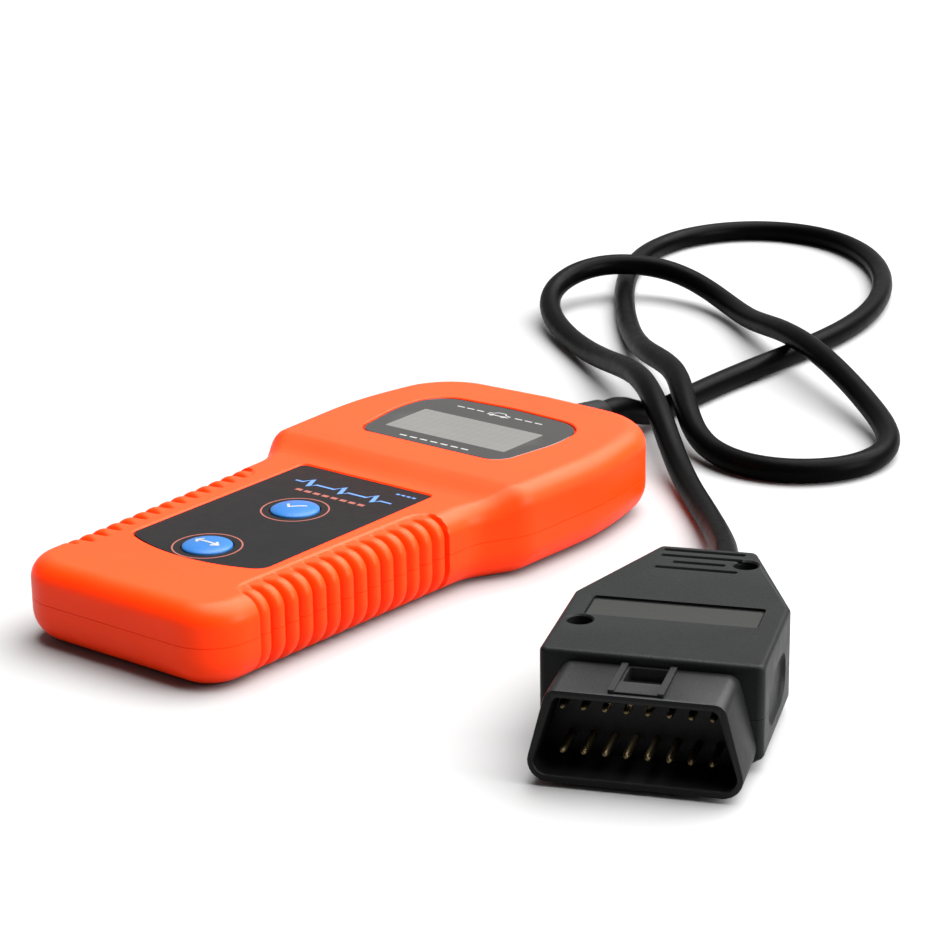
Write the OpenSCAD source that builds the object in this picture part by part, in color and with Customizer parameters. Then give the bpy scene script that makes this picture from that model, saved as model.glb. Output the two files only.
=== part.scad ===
// Hand-held car diagnostic code reader, its cord and its 16-pin diagnostic plug.
// +Y runs from the grip to the display end, +X to the right, +Z out of the face.
// The origin is the centre of the reader's footprint, on the surface that it lies on.

/* [Reader body] */
// Length of the reader, grip end to display end
body_l = 152; // [148:1:160]
// Width of the display head
head_w = 77; // [74:1:80]
// Width of the grip where it meets the head
grip_w = 62.6; // [60:0.2:64]
// Width of the grip at its end
grip_end_w = 57; // [54:0.5:60]
// Height of the keypad face above the table
face_z = 18.2; // [17.8:0.1:19]
// Height of the display face above the table
head_z = 20.7; // [20.3:0.1:21.5]
// Height of the line where the two shells meet
part_z = 9.7; // [9.4:0.1:10]
// Radius of the rounding along the bottom edge
bottom_r = 7; // [5:0.5:8]
// Radius of the rounding along the top edge
top_r = 4.7; // [4:0.1:5]
// Clear space that the shells' walls leave inside the outline
wall = 3.4; // [3:0.1:4]

/* [Grip ribs] */
// Number of notches along each side of the grip
rib_count = 13; // [8:1:13]
// Distance from one notch to the next
rib_pitch = 4.15; // [3.6:0.05:4.2]

/* [Display] */
// Width of the display lens
lens_w = 48; // [46:0.5:49]
// Length of the display lens
lens_l = 33.6; // [32:0.2:34]
// Distance of the lens's centre from the middle of the reader
lens_y = 43.5; // [43:0.5:44.5]
// Width of the window over the display
window_w = 35; // [34:1:38]
// Length of the window over the display
window_l = 15.2; // [12:0.2:16]
// Distance of the window's centre from the middle of the reader
window_y = 40.8; // [40:0.2:41]

/* [Keypad] */
// Half the distance between the two buttons
key_gap = 13.9; // [12:0.1:15]
// Distance of the point midway between the buttons from the middle of the reader
keypad_y = -32.5; // [-33:0.5:-32]
// Diameter of a button
key_d = 10.8; // [9:0.2:12]
// How far a button travels when pressed
key_travel = 0.4; // [0.2:0.1:0.5]
// Width of the keypad label
label_w = 38; // [36:1:40]

/* [Cord and plug] */
// Diameter of the cord
cord_d = 6; // [5:0.5:6]
// Distance between the plug's pins along a row
pin_pitch = 4; // [3.9:0.1:4.1]
// Distance between the plug's two rows of pins
row_gap = 8.9; // [8.4:0.1:9]
// Width of the plug's housing
plug_w = 42.8; // [42:0.2:44]
// Thickness of the plug's housing
plug_h = 21.5; // [21:0.5:23]

/* [Hidden] */
$fn = 48;
over = 1;            // how far a cut runs past the face it opens
skin = 0.03;         // how far a block runs past the flat face that is cut on it
reach_all = 200;     // half the size of a cut that takes in everything
slip = 0.05;         // gap between fixed pieces that fit into each other

// Plan outline of the reader. A corner is x, y, radius, the way it moves with an inset, and +1 if it
// bulges or -1 if it hollows.
neck_y = 5;
shoulder_y = 16;
head_mid_y = 45;
crown_y = body_l / 2 - 1.4;
grip_corner = [grip_end_w / 2, -body_l / 2, 10.5, -1, 1, 1];
neck_corner = [grip_w / 2, neck_y, 12, -1, 0, -1];
shoulder_corner = [head_w / 2 - 1, shoulder_y, 12, -1, 0, 1];
side_corner = [head_w / 2 + 0.4, head_mid_y, 80, -1, 0, 1];
crown_corner = [head_w / 2 - 5.4, crown_y, 18, -1, -1, 1];
tip_corner = [0, body_l / 2, 0, 0, -1, 1];
body_corners = [grip_corner, neck_corner, shoulder_corner, side_corner, crown_corner, tip_corner];

rib_far_y = -8.2;    // the notch nearest the head

// The step up from the keypad face to the display face
ramp_y0 = 9;
ramp_y1 = 16;

// Keypad
recess_d = 0.8;
overlay_t = 0.6;
recess_z = face_z - recess_d;
label_top_y = 5.9;
label_low_y = -50;
label_bow = 4.3;
label_top_r = 1.5;
label_low_r = 3.2;
key_hole_r = key_d / 2 + 0.25;
enter_y = keypad_y + key_gap;
scroll_y = keypad_y - key_gap;

// Levels inside the reader
floor_z = 2.6;
grip_ceiling_z = face_z - 2.8;
head_ceiling_z = head_z - 2.9;
board_z = 7.5;
board_t = 1.6;
board_top = board_z + board_t;
key_low_z = 14.2;
key_flange_t = 0.8;
key_flange_r = 6.6;
key_shoulder_z = face_z - 0.1;
key_top_z = face_z + 0.8;
switch_w = 6.2;
switch_h = 3.8;
switch_well_z = board_top + 1.3;
plunger_low_z = switch_well_z + key_travel + 0.4;
plunger_r = 1.75;
plunger_gap = 0.35;

// Connector of the cord's cores on the board
header_plug_y = 59.2;
header_plug_w = 10.4;
header_plug_l = 7.2;

// Display stack
lens_recess = 1;
lens_t = 0.8;
lens_z = head_z - lens_recess;
backlight_z = 12;
glass_z = 14.6;
glass_t = 2;
frame_top_z = 17.4;
lcd_w = 46;
lcd_l = 27;
lcd_rim = 3;
lcd_pin_n = 10;
lcd_pin_pitch = 2.54;

// Rear label and its recess
rear_label_w = 50;
rear_label_l = 30;
rear_label_y = 30;
rear_label_z = 0.1;
rear_label_t = 0.3;

// Screws
housing_screw_xy = [[-19, -66], [19, -66], [-28.5, 57], [28.5, 57]];
board_screw_xy = [[-17, -55.5], [17, -55.5], [-28, 44], [28, 44]];
boss_r = 3.6;
screw_seat_z = 4;
screw_head_r = 2.2;
screw_r = 1.15;
screw_l = 10;
board_boss_r = 2.8;
board_screw_r = 0.8;

// Exit of the cord
exit_z = 10;
relief_y = body_l / 2 + 20;
relief_inner_y = 71;
relief_neck_r = 4;
relief_collar_r = 5.9;
relief_taper_r = 5.3;

// Plug, in its own frame: u across, v from the cord's end (0) towards the mouth (negative)
plug_at = [91, 6, 0];
plug_turn = 23;
plug_l = 59.5;
plug_split_z = 10.8;
plug_wall = 2;
plug_low_chamfer = 3;
plug_top_chamfer = 0.8;
plug_tail_w = 20;
plug_taper_v = -29;
mouth_v = -74;
shroud_low_z = 1;
shroud_h = 18.5;
shroud_top_z = shroud_low_z + shroud_h;
shroud_top_w = 33.2;
shroud_low_w = 42.6;
shroud_wall = 1.5;
shroud_floor_v = -63;
shroud_back_v = -58;
pin_tip_v = -72;
pin_tail_v = -51;
pin_w = 1.5;
pin_mid_z = 11;
plug_exit_z = 11;
plug_screw_uv = [[-17, -43.8], [9, -8]];
plug_screw_r = 0.9;
plug_screw_sink = 4;
plug_label_w = 33.4;
plug_label_l = 9.4;
plug_label_v = -35.8;
plug_label_sink = 0.5;
grommet_r = 4.2;
plug_corners = [
    [plug_w / 2, -plug_l, 1.5, -1, 1, 1],
    [plug_w / 2, plug_taper_v, 2, -1, 0, 1],
    [plug_tail_w / 2, 0, 1.5, -1, -1, 1]
];

// Centre of the cord from the strain relief to the plug, on the table with low humps where it
// passes over itself
cord_route = [
    [0, 96, 10], [0, 105, 10], [-1, 117, 3], [-3, 140, 3], [-3, 168, 3], [-1, 198, 3],
    [-3, 230, 3], [-15, 262, 3], [-35, 290, 3], [-60, 306, 3], [-85, 303, 3], [-100, 281, 3],
    [-97, 251, 3], [-83, 224, 3], [-65, 198, 3], [-46, 175, 3], [-26, 154, 7], [-5, 137, 11],
    [10, 118, 8], [25, 103, 3], [47, 99, 3], [63, 113, 3], [62, 135, 3], [44, 153, 5],
    [20, 170, 10], [-4, 187, 10], [-26, 205, 4], [-46, 221, 4], [-68, 228, 9], [-87, 214, 11],
    [-88, 190, 7], [-70, 171, 3], [-38, 149, 4], [-6, 122, 14], [13, 103, 10], [31, 85, 3],
    [51, 66, 3], [69, 46, 5], [83, 25, 11], [91, 6, 11]
];
cord_steps = 2;      // rings to each stretch of the route
cord_sides = 10;
core_r = 0.55;       // radius of one of the cord's cores

// ---- Helpers ----

function unit(v) = v / norm(v);

// Points of the arc of radius r that rounds the corner p between its neighbours a and b
function arc_corner(a, p, b, r, n) =
    let (u = unit(a - p), w = unit(b - p), half = acos(u * w) / 2,
         c = p + unit(u + w) * r / sin(half),
         s = p + u * r / tan(half) - c, e = p + w * r / tan(half) - c,
         a0 = atan2(s[1], s[0]), turn = atan2(e[1], e[0]) - a0,
         sweep = turn > 180 ? turn - 360 : turn < -180 ? turn + 360 : turn)
    [for (k = [0:n]) c + r * [cos(a0 + sweep * k / n), sin(a0 + sweep * k / n)]];

// Rounded polygon through [x, y, radius] corners; a radius of 0 keeps the corner sharp
function rounded(corners, n) =
    let (m = len(corners), p = [for (c = corners) [c[0], c[1]]])
    [for (i = [0:m - 1])
        each corners[i][2] == 0 ? [p[i]]
            : arc_corner(p[(i + m - 1) % m], p[i], p[(i + 1) % m], corners[i][2], n)];

// Corners moved inwards by d, with the left half added as the mirror image of the right
function inset_corners(half, d) =
    let (right = [for (c = half)
            [c[0] + c[3] * d, c[1] + c[4] * d, c[2] == 0 ? 0 : max(0.5, c[2] - c[5] * d)]],
         left = [for (i = [len(right) - 1:-1:0]) if (right[i][0] != 0)
            [-right[i][0], right[i][1], right[i][2]]])
    concat(right, left);

function body_outline(d) = rounded(inset_corners(body_corners, d), 5);

function at_z(outline, z) = [for (p = outline) [p[0], p[1], z]];

// Closed solid whose skin runs through rings with equal numbers of points, lowest ring first
module loft(rings) {
    n = len(rings[0]);
    last = len(rings) - 1;
    polyhedron(
        points = [for (r = rings) each r],
        faces = concat(
            [[for (i = [0:n - 1]) i]],
            [for (k = [0:last - 1], i = [0:n - 1])
                [k * n + i, (k + 1) * n + i, (k + 1) * n + (i + 1) % n]],
            [for (k = [0:last - 1], i = [0:n - 1])
                [k * n + i, (k + 1) * n + (i + 1) % n, k * n + (i + 1) % n]],
            [[for (i = [n - 1:-1:0]) last * n + i]]
        ));
}

// Everything between two heights
module slab(z0, z1) {
    translate([-reach_all, -reach_all, z0]) cube([2 * reach_all, 2 * reach_all, z1 - z0]);
}

// Straight rod between two points
module rod(a, b, r) {
    d = b - a;
    translate(a) rotate([0, acos(d[2] / norm(d)), atan2(d[1], d[0])]) cylinder(r = r, h = norm(d));
}

module at_each(places) {
    for (p = places) translate([p[0], p[1], 0]) children();
}

// Screw with its head down: the head's face is at z = 0 and the shank runs up
module screw_up(head_r, head_h, shank_r, shank_l) {
    difference() {
        union() {
            translate([0, 0, -head_h]) cylinder(r = head_r, h = head_h);
            cylinder(r = shank_r, h = shank_l);
        }
        for (a = [0, 90]) rotate([0, 0, a]) translate([-0.7 * head_r, -0.3, -head_h - over])
            cube([1.4 * head_r, 0.6, over + head_h / 2]);
    }
}

// Chip with a row of leads on two or four sides
module chip(w, l, h, leads, pitch, sides) {
    lead_w = pitch * 0.45;
    translate([-w / 2, -l / 2, 0.2]) cube([w, l, h - 0.2]);
    for (side = sides, i = [0:leads - 1]) {
        reach = (side % 180 == 0 ? w : l) / 2;
        rotate([0, 0, side]) translate([reach, (i - (leads - 1) / 2) * pitch - lead_w / 2, 0])
            cube([1, lead_w, h / 2]);
    }
}

// ---- Reader shells ----

// Height of the top face at y: the keypad face, the ramp, then the display face
function top_z(y) =
    face_z + (head_z - face_z) * min(1, max(0, (y - ramp_y0) / (ramp_y1 - ramp_y0)));

// The reader's rounded block. It runs a little past its flat faces, which are cut afterwards.
module body_block() {
    bottom = [for (a = [0:22.5:90])
        at_z(body_outline(bottom_r * (1 - sin(a))), bottom_r * (1 - cos(a)) - skin)];
    crown = [for (a = [0:22.5:90]) [for (p = body_outline(top_r * (1 - cos(a))))
        [p[0], p[1], top_z(p[1]) - top_r * (1 - sin(a)) + skin]]];
    loft(concat([at_z(body_outline(bottom_r), -over)], bottom, crown,
        [at_z(body_outline(top_r), head_z + over)]));
}

// Everything between the line where the shells meet and the top faces
module upper_space() {
    rotate([90, 0, 90]) linear_extrude(2 * reach_all, center = true) polygon([
        [-reach_all, part_z], [reach_all, part_z], [reach_all, head_z], [ramp_y1, head_z],
        [ramp_y0, face_z], [-reach_all, face_z]
    ]);
}

// Notches along both sides of the grip
module rib_notches(z0, z1) {
    for (side = [-1, 1], i = [0:rib_count - 1]) {
        y = rib_far_y - rib_pitch * i;
        x = grip_w / 2 - (neck_y - y) * (grip_w - grip_end_w) / 2 / (neck_y + body_l / 2);
        translate([side * (x + 0.5), y, z0]) cylinder(r = 1.2, h = z1 - z0, $fn = 24);
    }
}

module lens_outline(d) {
    w = lens_w / 2 - d;
    l = lens_l / 2 - d;
    translate([0, lens_y]) polygon(rounded([
        [w - 3, -l, 5.5], [w, 2, 30], [w - 1.8, l - 1.5, 9], [0, l, 60],
        [1.8 - w, l - 1.5, 9], [-w, 2, 30], [3 - w, -l, 5.5]
    ], 5));
}

// Keypad label: rounded corners, bottom edge bowed outwards
module label_outline(d) {
    w = label_w / 2 - d;
    low = label_low_y + d;
    top_r = label_top_r - d;
    bow_r = (w * w + label_bow * label_bow) / (2 * label_bow);
    half = asin(w / bow_r);
    polygon(rounded(concat(
        [[w, label_top_y - d, top_r], [-w, label_top_y - d, top_r]],
        [for (k = [-8:8]) [bow_r * sin(half * k / 8),
            low - label_bow + bow_r * (1 - cos(half * k / 8)), abs(k) == 8 ? label_low_r - d : 0]]), 5));
}

module relief_passage() {
    translate([0, body_l / 2 + over, exit_z]) rotate([90, 0, 0])
        cylinder(r = relief_neck_r + 0.1, h = wall + 3 * over);
}

module front_shell() {
    color("orangered") difference() {
        union() {
            difference() {
                intersection() {
                    body_block();
                    upper_space();
                }
                translate([0, 0, part_z - over]) linear_extrude(grip_ceiling_z - part_z + over)
                    polygon(body_outline(wall));
                translate([0, 0, part_z - over]) linear_extrude(head_ceiling_z - part_z + over)
                    intersection() {
                        polygon(body_outline(wall + 1.8));
                        translate([-head_w / 2, ramp_y1 + 3]) square([head_w, body_l / 2]);
                    }
            }
            for (p = housing_screw_xy) translate([p[0], p[1], part_z])
                cylinder(r = boss_r, h = top_z(p[1]) - part_z - 2);
        }
        translate([0, 0, recess_z]) linear_extrude(recess_d + over) label_outline(0);
        for (y = [enter_y, scroll_y]) translate([0, y, grip_ceiling_z - over])
            cylinder(r = key_hole_r, h = face_z - grip_ceiling_z + 2 * over);
        translate([0, 0, lens_z]) linear_extrude(lens_recess + over) lens_outline(0);
        translate([-window_w / 2 - 0.5, window_y - window_l / 2 - 0.5, head_ceiling_z - over])
            cube([window_w + 1, window_l + 1, lens_z - head_ceiling_z + 2 * over]);
        at_each(housing_screw_xy) translate([0, 0, part_z - over])
            cylinder(r = screw_r + slip, h = grip_ceiling_z - part_z + over - 0.4);
        rib_notches(part_z - over, face_z - 0.6);
        relief_passage();
    }
}

module rear_shell() {
    color("orangered") difference() {
        union() {
            difference() {
                intersection() {
                    body_block();
                    slab(0, part_z);
                }
                translate([0, 0, floor_z]) linear_extrude(part_z - floor_z + over)
                    polygon(body_outline(wall));
            }
            at_each(housing_screw_xy) translate([0, 0, floor_z - 0.2])
                cylinder(r = boss_r, h = part_z - floor_z + 0.2);
            at_each(board_screw_xy) translate([0, 0, floor_z - 0.2])
                cylinder(r = board_boss_r, h = board_z - floor_z + 0.2);
        }
        at_each(housing_screw_xy) {
            translate([0, 0, -over]) cylinder(r = screw_head_r + 0.3, h = screw_seat_z + over);
            cylinder(r = screw_r + 0.15, h = part_z + over);
        }
        at_each(board_screw_xy) translate([0, 0, floor_z])
            cylinder(r = board_screw_r + slip, h = board_z);
        rear_label_block(0.2, -over, rear_label_z + rear_label_t);
        rib_notches(bottom_r * 0.5, part_z + over);
        relief_passage();
    }
}

module display_lens() {
    color("dimgray") translate([0, 0, lens_z]) linear_extrude(lens_t) lens_outline(0.3);
}

module keypad_overlay() {
    color([0.22, 0.22, 0.23]) translate([0, 0, recess_z]) linear_extrude(overlay_t) difference() {
        label_outline(0.25);
        for (y = [enter_y, scroll_y]) translate([0, y]) circle(r = key_hole_r);
    }
}

// Block in the outline of the rear label, wider by d all round
module rear_label_block(d, z0, z1) {
    translate([-rear_label_w / 2 - d, rear_label_y - rear_label_l / 2 - d, z0])
        cube([rear_label_w + 2 * d, rear_label_l + 2 * d, z1 - z0]);
}

module rear_label() {
    color("silver") rear_label_block(0, rear_label_z, rear_label_z + rear_label_t);
}

// ---- Buttons and their switches ----

module key_button(y) {
    color("dodgerblue") translate([0, y, 0]) rotate_extrude() polygon(concat(
        [[0, key_low_z], [key_flange_r, key_low_z], [key_flange_r, key_low_z + key_flange_t],
            [key_d / 2, key_low_z + key_flange_t]],
        [for (a = [0:15:90])
            [key_d / 2 * cos(a), key_shoulder_z + (key_top_z - key_shoulder_z) * sin(a)]]));
}

module switch_base(y) {
    color("black") translate([0, y, board_top]) difference() {
        translate([-switch_w / 2, -switch_w / 2, 0]) cube([switch_w, switch_w, switch_h]);
        translate([0, 0, switch_well_z - board_top])
            cylinder(r = plunger_r + plunger_gap, h = switch_h);
    }
}

module switch_plunger(y) {
    color("gray") translate([0, y, plunger_low_z]) cylinder(r = plunger_r, h = key_low_z - plunger_low_z);
}

module switch_dome(y) {
    rim = switch_well_z;
    crown = plunger_low_z;
    t = 0.15;
    color("silver") translate([0, y, 0]) rotate_extrude() polygon(concat(
        [for (a = [0:15:90]) [plunger_r * cos(a), rim + t + (crown - rim - t) * sin(a)]],
        [for (a = [90:-15:0]) [(plunger_r - t) * cos(a), rim + (crown - rim - t) * sin(a)]],
        [[plunger_r, rim]]));
}

module enter_button() { key_button(enter_y); }
module scroll_button() { key_button(scroll_y); }
module enter_switch_base() { switch_base(enter_y); }
module enter_switch_plunger() { switch_plunger(enter_y); }
module enter_switch_dome() { switch_dome(enter_y); }
module scroll_switch_base() { switch_base(scroll_y); }
module scroll_switch_plunger() { switch_plunger(scroll_y); }
module scroll_switch_dome() { switch_dome(scroll_y); }

// ---- Electronics ----

module main_board() {
    color("darkgreen") translate([0, 0, board_z]) linear_extrude(board_t) difference() {
        polygon([[-22, -60], [22, -60], [22, 10], [32, 18], [32, 49], [23, 50], [23, 64],
            [-23, 64], [-23, 50], [-32, 49], [-32, 18], [-22, 10]]);
        at_each(board_screw_xy) circle(r = board_screw_r + slip);
    }
}

module lcd_backlight() {
    color("ivory") translate([1 - lcd_w / 2, window_y - lcd_l / 2 + 1, backlight_z])
        cube([lcd_w - 2, lcd_l - 2, glass_z - backlight_z]);
}

module lcd_glass() {
    color("darkseagreen") translate([lcd_rim - lcd_w / 2, window_y - lcd_l / 2 + lcd_rim, glass_z])
        cube([lcd_w - 2 * lcd_rim, lcd_l - 2 * lcd_rim, glass_t]);
}

module lcd_frame() {
    color("black") translate([-lcd_w / 2, window_y - lcd_l / 2, glass_z]) difference() {
        cube([lcd_w, lcd_l, frame_top_z - glass_z]);
        translate([lcd_rim - slip, lcd_rim - slip, -over])
            cube([lcd_w - 2 * lcd_rim + 2 * slip, lcd_l - 2 * lcd_rim + 2 * slip, glass_t + over + slip]);
        translate([(lcd_w - window_w) / 2 - 0.3, (lcd_l - window_l) / 2 - 0.3, 0])
            cube([window_w + 0.6, window_l + 0.6, frame_top_z]);
    }
}

// Square pin, half wide each way from its middle
module pin_block(half, h) {
    translate([-half, -half, 0]) cube([2 * half, 2 * half, h]);
}

module lcd_header() {
    strip_l = lcd_pin_n * lcd_pin_pitch + 0.6;
    strip_w = 2.5;
    strip_h = 2;
    pin_half = 0.3;
    translate([0, window_y + lcd_l / 2 - strip_w, board_top]) {
        color("black") difference() {
            translate([-strip_l / 2, -strip_w / 2, 0]) cube([strip_l, strip_w, strip_h]);
            for (i = [0:lcd_pin_n - 1]) translate([(i - (lcd_pin_n - 1) / 2) * lcd_pin_pitch, 0, -over])
                pin_block(pin_half + slip, strip_h + 2 * over);
        }
        color("gold") for (i = [0:lcd_pin_n - 1])
            translate([(i - (lcd_pin_n - 1) / 2) * lcd_pin_pitch, 0, 0])
                pin_block(pin_half, backlight_z - board_top);
    }
}

module microcontroller() {
    color("black") translate([0, 2, board_top]) chip(10, 10, 1.4, 8, 1.1, [0, 90, 180, 270]);
}

module can_transceiver() {
    color("black") translate([-14, -4, board_top]) chip(4, 5, 1.5, 4, 1.27, [0, 180]);
}

module voltage_regulator() {
    color("black") translate([14, -5, board_top]) {
        translate([-3.3, -3, 0]) cube([6.6, 6, 2.3]);
        for (x = [-2.3, 0, 2.3]) translate([x - 0.4, -5, 0]) cube([0.8, 2, 0.6]);
        translate([-2.6, 3, 0]) cube([5.2, 1.4, 0.6]);
    }
}

module crystal() {
    color("silver") translate([0, -7.5, board_top]) linear_extrude(3.4)
        polygon(rounded([[5.5, -1.9, 1.8], [5.5, 1.9, 1.8], [-5.5, 1.9, 1.8], [-5.5, -1.9, 1.8]], 6));
}

module capacitors() {
    color("navy") for (x = [-15, 15]) translate([x, -32.5, board_top]) {
        cylinder(r = 2.5, h = 5.4);
        translate([-2.6, -2.6, 0]) cube([5.2, 5.2, 0.8]);
    }
}

module cable_header() {
    color("white") difference() {
        translate([-header_plug_w / 2 - 0.8, header_plug_y - 1.6, board_top])
            cube([header_plug_w + 1.6, 5.4, 5.6]);
        translate([-header_plug_w / 2 - slip, header_plug_y - 0.2, board_top + 0.8])
            cube([header_plug_w + 2 * slip, 5, 4 + slip]);
    }
}

module cable_header_plug() {
    color("ivory") translate([-header_plug_w / 2, header_plug_y, board_top + 0.9])
        cube([header_plug_w, header_plug_l, 3.9]);
}

// The four cores between the board's connector and the strain relief
module cable_cores() {
    colours = ["red", "black", "green", "yellow"];
    for (i = [0:3]) color(colours[i])
        rod([(i - 1.5) * 2.4, header_plug_y + header_plug_l + 0.2, board_top + 2.8],
            [(i - 1.5) * 1.7, relief_inner_y - 0.2, exit_z + 0.8], core_r);
}

module housing_screws() {
    color("silver") at_each(housing_screw_xy) translate([0, 0, screw_seat_z])
        screw_up(screw_head_r, 1.8, screw_r, screw_l);
}

module board_screws() {
    color("silver") at_each(board_screw_xy) translate([0, 0, board_top]) mirror([0, 0, 1])
        screw_up(2, 1.3, board_screw_r, 5);
}

// ---- Cord ----

// Sleeve moulded on the cord and held in the wall between the shells: a collar outside the wall,
// a narrow waist and a long taper
module strain_relief() {
    neck_y0 = body_l / 2 - wall - 0.4;
    collar_y = body_l / 2 + 0.1;
    taper_y = collar_y + 6.4;
    color([0.12, 0.12, 0.12]) translate([0, 0, exit_z]) rotate([-90, 0, 0]) rotate_extrude() polygon([
        [0, relief_inner_y], [5, relief_inner_y], [5, neck_y0], [relief_neck_r, neck_y0],
        [relief_neck_r, collar_y], [relief_collar_r - 0.6, collar_y],
        [relief_collar_r, collar_y + 0.8], [relief_collar_r, collar_y + 2.4],
        [relief_collar_r - 0.8, collar_y + 3.4], [relief_neck_r, collar_y + 4.2],
        [relief_neck_r, collar_y + 5], [relief_taper_r - 0.4, taper_y - 0.4], [relief_taper_r, taper_y + 0.4],
        [cord_d / 2 + 0.5, relief_y], [0, relief_y]
    ]);
}

// Point of the uniform cubic spline on four route points
function spline(p0, p1, p2, p3, t) =
    (pow(1 - t, 3) * p0 + (3 * pow(t, 3) - 6 * pow(t, 2) + 4) * p1
        + (-3 * pow(t, 3) + 3 * pow(t, 2) + 3 * t + 1) * p2 + pow(t, 3) * p3) / 6;

function spline_line(route, steps) =
    let (m = len(route) - 1,
         p = concat([2 * route[0] - route[1]], route, [2 * route[m] - route[m - 1]]))
    concat(
        [for (i = [0:m - 1], k = [0:steps - 1]) spline(p[i], p[i + 1], p[i + 2], p[i + 3], k / steps)],
        [route[m]]);

// Ring of a tube round the point c, square to the direction d
function tube_ring(c, d, r, n) =
    let (side = unit(cross(d, [0, 0, 1])), up = cross(side, d))
    [for (k = [0:n - 1]) c + r * (sin(360 * k / n) * side - cos(360 * k / n) * up)];

module cable() {
    line = spline_line(cord_route, cord_steps);
    last = len(line) - 1;
    color([0.08, 0.08, 0.08]) loft([for (i = [last:-1:0])
        tube_ring(line[i], unit(line[min(last, i + 1)] - line[max(0, i - 1)]), cord_d / 2, cord_sides)]);
}

// ---- Plug ----

module place_plug() {
    translate(plug_at) rotate([0, 0, plug_turn]) children();
}

function plug_outline(d) = rounded(inset_corners(plug_corners, d), 4);

// D-shaped outline of the connector shell, across (x) and up (y)
module shroud_outline(d) {
    low = shroud_low_z + d;
    high = shroud_top_z - d;
    polygon(rounded([
        [shroud_low_w / 2 - d, low, 4 - d], [shroud_top_w / 2 - d, high, 2.5 - d],
        [d - shroud_top_w / 2, high, 2.5 - d], [d - shroud_low_w / 2, low, 4 - d]
    ], 6));
}

// Extrudes an outline drawn across and up, from v0 back to v1 along the plug
module along_plug(v0, v1) {
    translate([0, v1, 0]) rotate([90, 0, 0]) linear_extrude(v1 - v0) children();
}

module plug_cavity(z0, z1) {
    translate([0, 0, z0]) linear_extrude(z1 - z0) polygon(plug_outline(plug_wall));
}

// What both covers leave open: the connector shell at the front and the grommet at the back
module plug_openings() {
    along_plug(-plug_l - over, -plug_l + plug_wall + over) shroud_outline(-slip);
    translate([0, over, plug_exit_z]) rotate([90, 0, 0])
        cylinder(r = grommet_r + slip, h = plug_wall + 2 * over);
}

// Finger recess on each side
module plug_side_grips() {
    for (side = [-1, 1]) translate([side * (plug_w / 2 + 0.4), -44, plug_h / 2]) rotate([0, 90, 0])
        linear_extrude(2.4, center = true) union() {
            for (v = [-5, 5]) translate([0, v]) circle(r = 5);
            translate([-5, -5]) square([10, 10]);
        }
}

// One half of the plug's housing, between two heights. The block behind it has a deep chamfer
// along the bottom edge and a small one along the top.
module plug_half(z0, z1) {
    intersection() {
        loft([at_z(plug_outline(plug_low_chamfer + over), -over), at_z(plug_outline(0), plug_low_chamfer),
            at_z(plug_outline(0), plug_h - plug_top_chamfer),
            at_z(plug_outline(plug_top_chamfer + over), plug_h + over)]);
        slab(z0, z1);
    }
}

module plug_bottom_cover() {
    color([0.2, 0.2, 0.21]) place_plug() difference() {
        plug_half(0, plug_split_z);
        plug_cavity(plug_wall, plug_split_z + over);
        plug_openings();
        plug_side_grips();
    }
    color([0.2, 0.2, 0.21]) place_plug() at_each(plug_screw_uv) difference() {
        translate([0, 0, plug_wall - 0.2]) cylinder(r = 2.7, h = plug_split_z - plug_wall + 0.2);
        translate([0, 0, plug_wall + 1.8]) cylinder(r = plug_screw_r + slip, h = plug_split_z);
    }
}

module plug_top_cover() {
    groove_v = [-2.6, -5.8, -9.2, -12.6];
    groove_w = [17, 17, 11, 17];
    color([0.2, 0.2, 0.21]) place_plug() difference() {
        union() {
            difference() {
                plug_half(plug_split_z, plug_h);
                plug_cavity(plug_split_z - over, plug_h - plug_wall);
            }
            at_each(plug_screw_uv) translate([0, 0, plug_split_z])
                cylinder(r = 3.2, h = plug_h - plug_split_z - 1);
        }
        plug_openings();
        plug_side_grips();
        at_each(plug_screw_uv) {
            translate([0, 0, plug_h - plug_screw_sink]) cylinder(r = 2.5, h = plug_screw_sink + over);
            translate([0, 0, plug_split_z - over]) cylinder(r = plug_screw_r + 0.2, h = plug_h);
        }
        plug_label_block(0.3, plug_h - plug_label_sink, plug_h + over);
        for (i = [0:3]) translate([-groove_w[i] / 2 - 0.5, groove_v[i] - 0.6, plug_h - 0.8])
            cube([groove_w[i], 1.2, 0.8 + over]);
    }
}

// The D-shaped shell that enters the car's socket, with the block that holds the pins
module plug_connector_shell() {
    ridge_u = 4.6;
    color([0.16, 0.16, 0.17]) place_plug() difference() {
        union() {
            along_plug(mouth_v, shroud_back_v) shroud_outline(0);
            for (u = [-ridge_u, ridge_u]) translate([u - 0.6, mouth_v + 1, shroud_top_z - over])
                cube([1.2, -plug_l - mouth_v - 1.4, over + 0.7]);
            translate([-ridge_u, mouth_v + 1, shroud_top_z - over])
                cube([2 * ridge_u, 5, over + 0.4]);
        }
        along_plug(mouth_v - over, shroud_floor_v) shroud_outline(shroud_wall);
        translate([1 - ridge_u, mouth_v + 6.6, shroud_top_z - shroud_wall - over])
            cube([2 * ridge_u - 2, 7, shroud_wall + 2 * over]);
        for (side = [-1, 1], i = [0:7])
            translate([(i - 3.5) * pin_pitch, shroud_back_v + over, pin_mid_z + side * row_gap / 2])
                rotate([90, 0, 0]) cylinder(r = pin_w / 2 + slip, h = 5 + 2 * over, $fn = 24);
    }
}

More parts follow.
